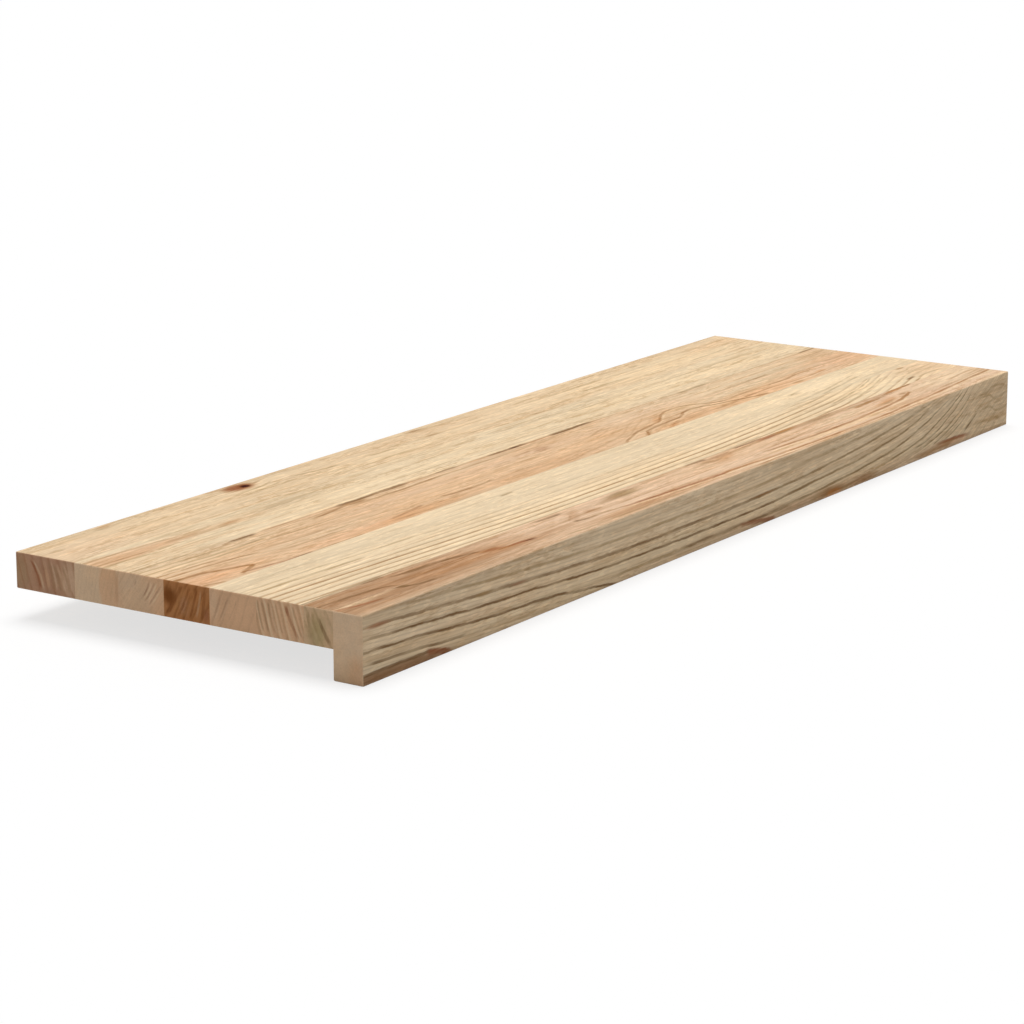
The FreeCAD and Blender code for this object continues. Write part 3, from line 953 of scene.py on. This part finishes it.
def draw_facing(graph, given):
    """How squarely a face looks up or down, to the front or back, and to an end."""
    x, y, z = graph.parts(given["Normal"])
    return {
        name: graph.rise(graph.math("ABSOLUTE", value), *FACING_LEVELS)
        for name, value in (("top", z), ("front", y), ("end", x))
    }


# A depth, in millimetres, that no mark reaches down to
OUT_OF_REACH = 100.0


def draw_places(graph, given):
    """Each face's own measure: along, across and depth below that face. On an end, along is downwards. The
    far faces carry the near ones' figure, on the underside and the lip's back turned end for end."""
    x, y, z = graph.parts(given["Spot"])
    whole = TREAD_HIGH.x - TREAD_LOW.x
    along = graph.math("SUBTRACT", x, TREAD_LOW.x)
    forward = graph.math("SUBTRACT", TREAD_HIGH.y, y)
    below = graph.math("SUBTRACT", TREAD_HIGH.z, z)
    inside = graph.math("SUBTRACT", y, TREAD_LOW.y)
    off_end = graph.math("SUBTRACT", 1.0, given["End"])

    def folded(depth, thickness):
        """Along and depth for two opposite faces, with along reversed on the far one."""
        far = graph.math("GREATER_THAN", depth, graph.math("MULTIPLY", thickness, 0.5))
        turned = graph.total(along, (graph.total(whole, (along, -2.0)), far))
        return turned, graph.math("MINIMUM", depth, graph.math("SUBTRACT", thickness, depth))

    def hidden(depth, side):
        """A depth that is out of every mark's reach on the given side."""
        return graph.total(depth, (side, OUT_OF_REACH))

    top_along, top_depth = folded(below, given["Thickness"])
    front_along, front_depth = folded(inside, given["Width"])
    end_depth = graph.math("MINIMUM", along, graph.math("SUBTRACT", whole, along))
    return {
        "top": graph.join(top_along, forward, hidden(top_depth, given["End"])),
        "front": graph.join(front_along, below, hidden(front_depth, given["End"])),
        "end": graph.join(below, forward, hidden(end_depth, off_end)),
        "along": along,
    }


# How rings stray from straight lines: in long bows, in short ripples, and by an uneven spacing
BOWS, BOW_SIZE = Cell(140.0, 24.0, 2.0), 2.0
RIPPLES, RIPPLE_SIZE = Cell(26.0, 4.0, 2.0), 0.3
SPACING_CHANGES = 0.43
# Puts a line where the rings start
RING_SHIFT = 0.7
# A ring runs from 0 to 1. Its line begins its own share before the first of these, is full from the second
# on and fades from the third on.
LINE_START, LINE_FULL, LINE_END = 0.72, 0.70, 0.74
# The line's tail, the delay to the painted highlight band after it, both as parts of that share, and how that
# band comes and goes
LINE_TAIL, HIGHLIGHT_DELAY = 0.35, 0.3
HIGHLIGHT_RISE, HIGHLIGHT_FADE = (0.0, 0.08), (0.1, 0.42)
# Where lines break up, and the least strength of a line there and of one ring among the others
RING_BREAKS, FAINTEST_LINE = Cell(34.0, 3.0, 3.0, levels=(0.3, 0.6)), 0.65
FAINTEST_RING = 0.65


def draw_rings(graph, given):
    """Growth rings as lines that darken slowly and stop sharply, no two alike."""
    seed, share = given["Seed"], given["share"]
    _, y, z = graph.parts(given["Spot"])
    forward = graph.math("SUBTRACT", TREAD_HIGH.y, y)
    sunk = graph.math("MULTIPLY", graph.math("SUBTRACT", TREAD_HIGH.z, z), given["lean"])
    moved = graph.vector("ADD", given["Spot"], graph.join(seed, seed, seed))
    bow, ripple = graph.swing(moved, BOWS), graph.swing(moved, RIPPLES)
    sway = graph.total(0.0, (bow, BOW_SIZE), (ripple, RIPPLE_SIZE))
    radius = graph.math("SUBTRACT", graph.math("SUBTRACT", forward, sunk), given["Drift"])
    radius = graph.total(graph.math("SUBTRACT", radius, given["start"]), (sway, given["waver"]))
    even = graph.math("DIVIDE", radius, given["spacing"])
    change = graph.add(
        "ShaderNodeTexNoise", {"W": even, "Scale": SPACING_CHANGES, "Detail": 0.0}, noise_dimensions="1D"
    )
    loose = graph.product(graph.math("SUBTRACT", change.outputs[0], 0.5), given["uneven"])
    count = graph.math("ADD", graph.math("ADD", even, loose), RING_SHIFT)
    phase = graph.math("FRACT", count)
    rising = graph.rise(phase, graph.math("SUBTRACT", LINE_START, share), LINE_FULL)
    falling = graph.fade(phase, LINE_END, graph.total(LINE_END, (share, LINE_TAIL)))
    number = graph.math("ADD", graph.math("FLOOR", count), seed)
    chance = graph.add("ShaderNodeTexWhiteNoise", {"W": number}, noise_dimensions="1D").outputs["Value"]
    vary = graph.span(chance, 0.0, 1.0, FAINTEST_RING, 1.0)
    # A painted highlight band just after each line, given out as Pale
    after = graph.math("FRACT", graph.math("SUBTRACT", count, graph.total(LINE_END, (share, HIGHLIGHT_DELAY))))
    pale = graph.product(graph.span(after, *HIGHLIGHT_RISE), graph.fade(after, *HIGHLIGHT_FADE))
    broken = graph.spots(moved, RING_BREAKS, least=FAINTEST_LINE, smooth=False)
    return {"Line": graph.product(rising, falling, vary, broken), "Pale": graph.product(pale, broken)}


PATCH_EDGE, PATCH_FRAY = Cell(16.0, 1.8, 3.0), 2.0


def draw_patch(graph, given):
    """An oval on a face, frayed along the grain."""
    along, across, deep = graph.parts(graph.vector("SUBTRACT", given["Place"], given["Centre"]))
    straight = graph.math("SUBTRACT", across, graph.math("MULTIPLY", along, given["tilt"]))
    scaled = graph.vector("DIVIDE", graph.join(along, straight, deep), given["Reach"])
    fray = graph.math("MULTIPLY", given["fray"], PATCH_FRAY)
    distance = graph.total(graph.vector("LENGTH", scaled), (graph.swing(given["Place"], PATCH_EDGE), fray))
    return {"Mask": graph.fade(distance, graph.math("SUBTRACT", 1.0, given["soft"]), 1.0)}


# How a vein strays from its path: in bends of so many millimetres, and in teeth that grow with its width
# and its fray
BENDS, BEND_SIZE = Cell(22.0, 7.0, 2.0), 1.7
TEETH, TEETH_SHARE = Cell(4.5, 30.0, 1.0), 0.5
# A vein's reach to each side as a share of its width, its depth in millimetres, its edge and its breaks
VEIN_REACH, VEIN_DEPTH = 0.75, 3.0
VEIN_EDGE = Cell(14.0, 1.2, 3.0)
VEIN_BREAKS, FAINTEST_VEIN = Cell(30.0, 4.0, 2.0, levels=(0.35, 0.6)), 0.5
# The painted highlight beside a vein, in reaches: how far off it lies, and where it starts and stops fading
HIGHLIGHT_OFFSET, HIGHLIGHT_EDGE = 1.7, (0.1, 1.0)


def draw_vein(graph, given):
    """A line on a face at a given distance across, faded at its ends and frayed along the grain."""
    place, wide, fray, fade = given["Place"], given["wide"], given["fray"], given["fade"]
    start, stop = given["From"], given["To"]
    along, across, deep = graph.parts(place)
    jag = graph.product(fray, wide, TEETH_SHARE)
    bend, tooth = graph.swing(place, BENDS), graph.swing(place, TEETH)
    aside = graph.math("SUBTRACT", across, graph.total(given["Line"], (bend, BEND_SIZE), (tooth, jag)))
    reach = graph.math("MULTIPLY", wide, VEIN_REACH)
    away = graph.math("DIVIDE", graph.math("ABSOLUTE", aside), reach)
    ragged = graph.total(away, (graph.swing(place, VEIN_EDGE), fray))
    line = graph.fade(ragged, graph.math("SUBTRACT", 1.0, given["soft"]), 1.0)
    # A painted highlight beside the line, given out as Pale
    beside = graph.math("SUBTRACT", aside, graph.math("MULTIPLY", reach, HIGHLIGHT_OFFSET))
    pale = graph.fade(graph.math("DIVIDE", graph.math("ABSOLUTE", beside), reach), *HIGHLIGHT_EDGE)
    kept = graph.product(
        graph.rise(along, start, graph.math("ADD", start, fade)),
        graph.fade(along, graph.math("SUBTRACT", stop, fade), stop),
        graph.span(deep, 0.0, VEIN_DEPTH, 1.0, 0.0),
        graph.spots(place, VEIN_BREAKS, least=FAINTEST_VEIN, smooth=False),
    )
    return {"Mask": graph.product(line, kept), "Pale": graph.product(pale, kept)}


# Oak's fine texture. Pores and dashes gather in the same zones, and a few dashes are left elsewhere.
TONE = Cell(210.0, 13.0, 3.0)
THREADS = Cell(34.0, 1.0, 3.0)
PORES = Cell(7.0, 0.42, 1.0, levels=(0.58, 0.70))
PORE_ZONES = Cell(60.0, 9.0, 2.0, levels=(0.35, 0.65))
DASH_LEVELS, FEWEST_DASHES = (0.40, 0.62), 0.2
DASHES = Cell(19.0, 2.2, 3.0, levels=(0.50, 0.60))
CHIPS = Cell(8.0, 1.6, 2.0, levels=(0.53, 0.63))
STREAKS = Cell(90.0, 4.0, 4.0, levels=(0.50, 0.68))
FLECKS = Cell(12.0, 1.9, 3.0, levels=(0.53, 0.63))
WARM_ZONES = Cell(110.0, 13.0, 3.0, levels=(0.40, 0.66))


def draw_fibre(graph, given):
    """Broad tone, thin fibres, open pores and dashes, brown streaks, pale flecks and warmer zones."""
    seed = given["seed"]
    moved = graph.vector("ADD", given["Spot"], graph.join(seed, seed, seed))
    mirrored = graph.scale(moved, -1.0)
    zone = graph.noise(moved, PORE_ZONES)
    dashes = graph.math("MAXIMUM", graph.spots(moved, DASHES), graph.spots(moved, CHIPS))
    pores = graph.spots(moved, PORES, smooth=False)
    return {
        "Tone": graph.noise(moved, TONE),
        "Thread": graph.noise(moved, THREADS),
        "Pores": graph.product(pores, graph.span(zone, *PORE_ZONES.levels)),
        "Dashes": graph.product(dashes, graph.span(zone, *DASH_LEVELS, FEWEST_DASHES, 1.0)),
        "Streaks": graph.spots(moved, STREAKS),
        "Flecks": graph.spots(mirrored, FLECKS),
        "Warmth": graph.spots(mirrored, WARM_ZONES),
    }


FACING = Recipe("Facing", draw_facing, vectors=("Normal",))
PLACES = Recipe("Face Places", draw_places, vectors=("Spot",), numbers=("Thickness", "Width", "End"))
RINGS = Recipe(
    "Growth Rings", draw_rings, vectors=("Spot",), numbers=("Drift", "Seed"),
    settings=("lean", "start", "spacing", "share", "waver", "uneven"),
)
PATCH = Recipe(
    "Wood Patch", draw_patch, vectors=("Place", "Centre", "Reach"), settings=("tilt", "soft", "fray")
)
VEIN = Recipe(
    "Wood Vein", draw_vein, vectors=("Place",), numbers=("Line", "From", "To"),
    settings=("fade", "wide", "soft", "fray"),
)
FIBRE = Recipe("Oak Fibre", draw_fibre, vectors=("Spot",), settings=("seed",))


class Wood:
    """The figure of one timber in a node tree, for its colour or for its relief."""

    def __init__(self, graph, place, normal, node_name):
        self.graph = graph
        self.timber = TIMBERS[node_name]
        self.spot = graph.scale(place, MM_PER_M)
        low, high = (Vector(corner) * MM_PER_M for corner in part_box(node_name))
        self.facing = self.shared(FACING, {"Normal": normal})
        box = {"Thickness": high.z - low.z, "Width": high.y - low.y}
        self.places = self.shared(PLACES, {"Spot": self.spot, "End": self.facing["end"], **box})

    def shared(self, recipe, inputs, source=None):
        """A shared group's outputs, with its settings taken from a mark, from rings or from a timber."""
        settings = {name: getattr(source, name) for name in recipe.settings}
        return self.graph.group(shared_group(recipe, self.graph.tree.bl_idname), {**inputs, **settings})

    def fibre(self):
        return self.shared(FIBRE, {"Spot": self.spot}, self.timber)

    def ring_lines(self, rings):
        """Where rings darken the wood, and where their painted highlight bands lie."""
        drift = self.graph.curve(self.places["along"], rings.drift)
        return self.shared(RINGS, {"Spot": self.spot, "Drift": drift, "Seed": self.timber.seed}, rings)

    def ring_weight(self, rings):
        """How strongly rings show, which differs on the top, the front and an end."""
        flat = self.graph.span(self.facing["front"], 0.0, 1.0, rings.strength, rings.side)
        return self.graph.total(flat, (self.facing["end"], rings.end_strength - rings.strength))

    def masks(self, face, mark):
        """Where a mark on a face shows, and for a vein also where its painted highlight does."""
        place = self.places[face]
        if isinstance(mark, Patch):
            oval = {"Centre": (*mark.place, 0.0), "Reach": (*mark.reach, mark.deep)}
            return self.shared(PATCH, {"Place": place, **oval}, mark)
        line = self.graph.curve(self.graph.parts(place)[0], mark.path)
        ends = {"From": mark.path[0][0], "To": mark.path[-1][0]}
        return self.shared(VEIN, {"Place": place, "Line": line, **ends}, mark)


# Oak material

# Colour of the painted highlights beside growth lines and beside veins
HIGHLIGHT_COLOUR = "ivory"
# How much of the fine texture shows on an end, and how it changes the colour about a plain brightness
END_TEXTURE = 0.15
PORE_DARKNESS = 0.45
PLAIN_LIGHT, FLECK_LIGHT, THREAD_LIGHT, TONE_LIGHT = 0.985, 0.13, 0.24, 0.30
# How the fine texture changes the gloss and the height of the planed face
PLAIN_ROUGHNESS, THREAD_ROUGHNESS, PORE_ROUGHNESS = 0.62, 0.16, 0.12
THREAD_HEIGHT, PORE_HEIGHT = 0.5, -1.0
BUMP_STRENGTH, BUMP_DISTANCE = 0.25, 0.0002
MATT_GLOSS = 0.02


def lay_figure(wood, paint):
    """The wood's colour before its fine texture: plain colours, tints, rings, then marks."""
    graph, timber, end = wood.graph, wood.timber, wood.facing["end"]
    shade = graph.mix(wood.facing["top"], paint(timber.face_colour), paint(timber.top_colour))
    shade = graph.mix(end, shade, paint(timber.end_colour))
    for face, tint in timber.tints():
        cover = graph.product(wood.masks(face, tint)["Mask"], tint.strength)
        shade = graph.mix(cover, shade, paint(tint.colour))
    for rings in timber.rings:
        lines, weight = wood.ring_lines(rings), wood.ring_weight(rings)
        dark = graph.mix(end, paint(rings.colour), paint(rings.end_colour))
        shade = graph.mix(graph.product(lines["Line"], weight), shade, dark)
        # Painted highlight bands beside the ring lines
        if rings.pale:
            shade = graph.mix(graph.product(lines["Pale"], weight, rings.pale), shade, paint(HIGHLIGHT_COLOUR))
    for face, mark in timber.marks():
        masks = wood.masks(face, mark)
        # A painted highlight beside the vein, its glint
        if isinstance(mark, Vein) and mark.glint:
            edge = graph.product(masks["Pale"], mark.strength * mark.glint)
            shade = graph.mix(edge, shade, paint(HIGHLIGHT_COLOUR))
        shade = graph.mix(graph.product(masks["Mask"], mark.strength), shade, paint(mark.colour))
    return shade


def lay_texture(wood, fibre, shade, paint):
    """A colour darkened by streaks, dashes and pores, warmed in zones, and lit by flecks and fibres."""
    graph, timber = wood.graph, wood.timber
    grain = graph.span(wood.facing["end"], 0.0, 1.0, 1.0, END_TEXTURE)
    streaks, dashes = (fibre["Streaks"], timber.streaks), (fibre["Dashes"], timber.dashes)
    dark = graph.total(0.0, streaks, dashes, (fibre["Pores"], PORE_DARKNESS))
    shade = graph.mix(graph.product(dark, grain), shade, paint("shadow"), blend="MULTIPLY")
    warm = graph.product(fibre["Warmth"], timber.warmth)
    shade = graph.mix(warm, shade, paint("glow"), blend="MULTIPLY")
    thread, tone = (graph.math("SUBTRACT", fibre[name], 0.5) for name in ("Thread", "Tone"))
    flecks = graph.product(fibre["Flecks"], grain)
    light = graph.total(PLAIN_LIGHT, (flecks, FLECK_LIGHT), (thread, THREAD_LIGHT), (tone, TONE_LIGHT))
    return graph.mix(1.0, shade, graph.join(light, light, light), blend="MULTIPLY")


def oak_material(node_name, colours):
    """Planed oak, oiled matt."""
    material = bpy.data.materials.new(f"oak_{node_name}")
    graph = fresh_graph(material)

    def paint(name):
        return (*getattr(colours, name), 1.0)

    seen = graph.add("ShaderNodeTexCoord").outputs
    wood = Wood(graph, seen["Object"], seen["Normal"], node_name)
    fibre = wood.fibre()
    thread, pores = fibre["Thread"], fibre["Pores"]
    height = graph.total(0.0, (thread, THREAD_HEIGHT), (pores, PORE_HEIGHT))
    relief = {"Height": height, "Strength": BUMP_STRENGTH, "Distance": BUMP_DISTANCE}
    shader = graph.add("ShaderNodeBsdfPrincipled", {
        "Base Color": lay_texture(wood, fibre, lay_figure(wood, paint), paint),
        "Roughness": graph.total(PLAIN_ROUGHNESS, (thread, THREAD_ROUGHNESS), (pores, PORE_ROUGHNESS)),
        "Normal": graph.add("ShaderNodeBump", relief).outputs[0],
        "Specular IOR Level": MATT_GLOSS,
    })
    graph.add("ShaderNodeOutputMaterial", {"Surface": shader.outputs[0]})
    return material


# Shaping the wood

ARRIS_STEPS = 3
SMOOTH_ANGLE = math.radians(40)
# An edge runs along an axis if this share of it does, and is cut if it is more than so many steps long
ALONG_SHARE, FEWEST_STEPS = 0.999, 4
# How squarely a face has to look along an axis for its grain to start to sink, and to sink fully
SQUARE_LEVELS = (0.95, 0.999)


def side_of(face):
    """The direction that a block's face looks in, in whole numbers."""
    return tuple(round(value) for value in face.normal)


def add_block(name, node_name):
    """A block the size of its CAD node, with its place in its mesh."""
    low, high = (Vector(corner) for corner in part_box(node_name))
    bpy.ops.object.select_all(action="DESELECT")
    bpy.ops.mesh.primitive_cube_add(size=1.0, location=(low + high) / 2)
    piece = bpy.context.object
    piece.name = name
    piece.data.name = name
    bpy.ops.transform.resize(value=high - low)
    bpy.ops.object.transform_apply(location=True, rotation=True, scale=True)
    return piece


def select_edges(piece, wanted):
    """Selects the edges of a piece in edit mode that pass a test, and no other."""
    bpy.ops.mesh.select_mode(type="EDGE")
    bpy.ops.mesh.select_all(action="DESELECT")
    mesh = bmesh.from_edit_mesh(piece.data)
    for edge in mesh.edges:
        edge.select_set(wanted(edge))
    mesh.select_flush_mode()
    bmesh.update_edit_mesh(piece.data)


def ease_edges(piece, open_sides, radius, more=()):
    """Sands round the edges where two open sides meet, and any more pairs of sides."""
    def shows(edge):
        sides = {side_of(face) for face in edge.link_faces}
        return sides <= set(open_sides) or sides in more

    select_edges(piece, shows)
    bpy.ops.mesh.bevel(
        offset=radius, offset_type="OFFSET", segments=ARRIS_STEPS, affect="EDGES", clamp_overlap=False
    )


def slice_across(piece, axis, pitch):
    """Cuts the long edges along one axis into even steps, so that the faces between can take the grain."""
    index = "xyz".index(axis)

    def runs_along(edge):
        way = edge.verts[1].co - edge.verts[0].co
        return abs(way[index]) > ALONG_SHARE * way.length and way.length > FEWEST_STEPS * pitch

    select_edges(piece, runs_along)
    mesh = bmesh.from_edit_mesh(piece.data)
    longest = max((edge.calc_length() for edge in mesh.edges if edge.select), default=0.0)
    cuts = round(longest / pitch) - 1
    if cuts < 1:
        raise RuntimeError(f"{piece.name} has no edges to slice along {axis}")
    bpy.ops.mesh.subdivide(number_cuts=cuts)


def work_grain(piece, node_name, depth):
    """Sinks the dark growth lines and marks a little into the flat faces, as planed oak wears."""
    tree = bpy.data.node_groups.new(f"{piece.name}_grain", "GeometryNodeTree")
    for way in ("INPUT", "OUTPUT"):
        tree.interface.new_socket("Geometry", in_out=way, socket_type="NodeSocketGeometry")
    graph = Graph(tree)
    given = graph.add("NodeGroupInput").outputs["Geometry"]
    place = graph.add("GeometryNodeInputPosition").outputs[0]
    normal = graph.add("GeometryNodeInputNormal").outputs[0]
    wood = Wood(graph, place, normal, node_name)
    lines = [
        (graph.product(wood.ring_lines(rings)["Line"], wood.ring_weight(rings)), rings.relief)
        for rings in wood.timber.rings
    ]
    marks = [
        (wood.masks(face, mark)["Mask"], mark.strength * mark.relief)
        for face, mark in wood.timber.marks() if mark.relief
    ]
    sunk = graph.math("MINIMUM", graph.total(0.0, *lines, *marks), 1.0)
    x, y, z = graph.parts(graph.vector("ABSOLUTE", normal))
    square = graph.span(graph.math("MAXIMUM", x, graph.math("MAXIMUM", y, z)), *SQUARE_LEVELS)
    offset = graph.scale(normal, graph.product(sunk, square, -depth))
    moved = graph.add("GeometryNodeSetPosition", {"Geometry": given, "Offset": offset})
    graph.add("NodeGroupOutput", {"Geometry": moved.outputs[0]})
    relief = piece.modifiers.new("Grain", "NODES")
    relief.node_group = tree
    bpy.ops.object.modifier_apply(modifier=relief.name)


def plane_strip(node_name, open_sides, context, down_pitch, more=()):
    """One finished strip of wood in the place of its CAD node."""
    sizes = context.scene.tread_sizes
    piece = add_block(f"planed_{node_name}", node_name)
    bpy.ops.object.mode_set(mode="EDIT")
    ease_edges(piece, open_sides, sizes.arris, more)
    slice_across(piece, "x", sizes.slice_along)
    slice_across(piece, "y", sizes.slice_across)
    slice_across(piece, "z", down_pitch)
    bpy.ops.object.mode_set(mode="OBJECT")
    work_grain(piece, node_name, sizes.grain_relief)
    bpy.ops.object.shade_smooth_by_angle(angle=SMOOTH_ANGLE)
    piece.data.materials.clear()
    piece.data.materials.append(oak_material(node_name, context.scene.oak_colours))
    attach(piece, BODY)
    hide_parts(node_name)


# Stage

WHITE = (1.0, 1.0, 1.0, 1.0)
FLOOR_GREY = (0.62, 0.62, 0.62, 1.0)
FLOOR_GLOW = 0.7
SUN_PLACE = (1.0, 1.0, 2.0)
SENSOR_WIDTH = 36.0


def show_white(graph):
    """One for rays that the eye, a gloss or a glass sends out, and nought for those that only carry light."""
    path = graph.add("ShaderNodeLightPath").outputs
    direct = graph.math("MAXIMUM", path["Is Camera Ray"], path["Is Glossy Ray"])
    return graph.math("MAXIMUM", direct, path["Is Transmission Ray"])


def lay_floor(stage):
    """A pale floor that shows white with a light shadow, and can be looked through from below."""
    bpy.ops.object.select_all(action="DESELECT")
    bpy.ops.mesh.primitive_plane_add(size=stage.floor_size, location=(0, 0, TREAD_LOW.z / MM_PER_M))
    floor = bpy.context.object
    floor.name = "floor"
    material = bpy.data.materials.new("pale_floor")
    graph = fresh_graph(material)
    grey = graph.add("ShaderNodeBsdfDiffuse", {"Color": FLOOR_GREY})
    white = graph.add("ShaderNodeBsdfDiffuse", {"Color": WHITE})
    glow = graph.add("ShaderNodeEmission", {"Color": WHITE, "Strength": 1.0})
    clear = graph.add("ShaderNodeBsdfTransparent")
    below = graph.add("ShaderNodeNewGeometry").outputs["Backfacing"]
    lit = graph.mix_shaders(show_white(graph), grey, graph.mix_shaders(FLOOR_GLOW, white, glow))
    both = graph.mix_shaders(below, lit, clear)
    graph.add("ShaderNodeOutputMaterial", {"Surface": both.outputs[0]})
    floor.data.materials.append(material)


def hang_lights(scene, stage):
    """A wide soft sun high up and a little to the right, and a dim even sky that looks white."""
    bpy.ops.object.light_add(type="SUN", location=SUN_PLACE)
    sun = bpy.context.object
    sun.name = "soft_sun"
    sun.data.energy = stage.sun_strength
    sun.data.angle = stage.sun_width
    sun.rotation_euler = (0.0, math.pi / 2 - stage.sun_height, stage.sun_bearing)
    world = bpy.data.worlds.new("studio")
    graph = fresh_graph(world)
    dim = graph.add("ShaderNodeBackground", {"Color": WHITE, "Strength": stage.sky_strength})
    white = graph.add("ShaderNodeBackground", {"Color": WHITE, "Strength": 1.0})
    sky = graph.mix_shaders(show_white(graph), dim, white)
    graph.add("ShaderNodeOutputWorld", {"Surface": sky.outputs[0]})
    scene.world = world


def place_camera(scene, stage):
    """A long lens at the left front corner, a little above the tread."""
    turn = (math.pi / 2 - stage.pitch, 0.0, -stage.bearing)
    bpy.ops.object.camera_add(location=stage.eye, rotation=turn)
    camera = bpy.context.object
    camera.name = "eye"
    camera.data.sensor_width = SENSOR_WIDTH
    camera.data.lens = stage.lens
    scene.camera = camera


# Operators and panel

class TREAD_OT_add_staves(bpy.types.Operator):
    """Plane the board's seven staves"""

    bl_idname = "tread.add_staves"
    bl_label = "Add Staves"
    bl_options = {"REGISTER", "UNDO"}

    def execute(self, context):
        sizes = context.scene.tread_sizes
        back, *others = STAVE_NODES
        plane_strip(back, (LEFT, RIGHT, UNDER, TOP, BACK), context, sizes.slice_across)
        for node_name in others:
            plane_strip(node_name, (LEFT, RIGHT, UNDER, TOP), context, sizes.slice_hidden)
        return {"FINISHED"}


class TREAD_OT_add_nosing(bpy.types.Operator):
    """Plane the nosing strip along the front edge"""

    bl_idname = "tread.add_nosing"
    bl_label = "Add Nosing"
    bl_options = {"REGISTER", "UNDO"}

    def execute(self, context):
        pitch = context.scene.tread_sizes.slice_across
        plane_strip(NOSING_NODE, (LEFT, RIGHT, UNDER, TOP, FRONT), context, pitch, more=({BACK, UNDER},))
        return {"FINISHED"}


class TREAD_OT_set_stage(bpy.types.Operator):
    """Lay the floor and set up the light and the camera"""

    bl_idname = "tread.set_stage"
    bl_label = "Set Stage"
    bl_options = {"REGISTER", "UNDO"}

    def execute(self, context):
        stage = context.scene.tread_stage
        lay_floor(stage)
        hang_lights(context.scene, stage)
        place_camera(context.scene, stage)
        context.scene.view_settings.view_transform = "Standard"
        return {"FINISHED"}


class TREAD_PT_sidebar(bpy.types.Panel):
    """Sizes, colours and tools of the tread"""

    bl_idname = "TREAD_PT_sidebar"
    bl_label = "Stair Tread"
    bl_space_type = "VIEW_3D"
    bl_region_type = "UI"
    bl_category = "Tread"

    def draw(self, context):
        layout = self.layout
        for operator in (TREAD_OT_add_staves, TREAD_OT_add_nosing, TREAD_OT_set_stage):
            layout.operator(operator.bl_idname)
        scene = context.scene
        for title, group in (
            ("Sizes", scene.tread_sizes), ("Colours", scene.oak_colours), ("Stage", scene.tread_stage)
        ):
            box = layout.box()
            box.label(text=title)
            for name in group.__annotations__:
                box.prop(group, name)


# Add-on

CLASSES = (
    TreadSizes, OakColours, StageSettings, TREAD_OT_add_staves, TREAD_OT_add_nosing, TREAD_OT_set_stage,
    TREAD_PT_sidebar,
)


def register():
    for cls in CLASSES:
        bpy.utils.register_class(cls)
    bpy.types.Scene.tread_sizes = PointerProperty(type=TreadSizes)
    bpy.types.Scene.oak_colours = PointerProperty(type=OakColours)
    bpy.types.Scene.tread_stage = PointerProperty(type=StageSettings)


def unregister():
    del bpy.types.Scene.tread_stage
    del bpy.types.Scene.oak_colours
    del bpy.types.Scene.tread_sizes
    for cls in reversed(CLASSES):
        bpy.utils.unregister_class(cls)


def main():
    register()
    bpy.ops.tread.add_staves()
    bpy.ops.tread.add_nosing()
    bpy.ops.tread.set_stage()


if __name__ == "__main__":
    main()
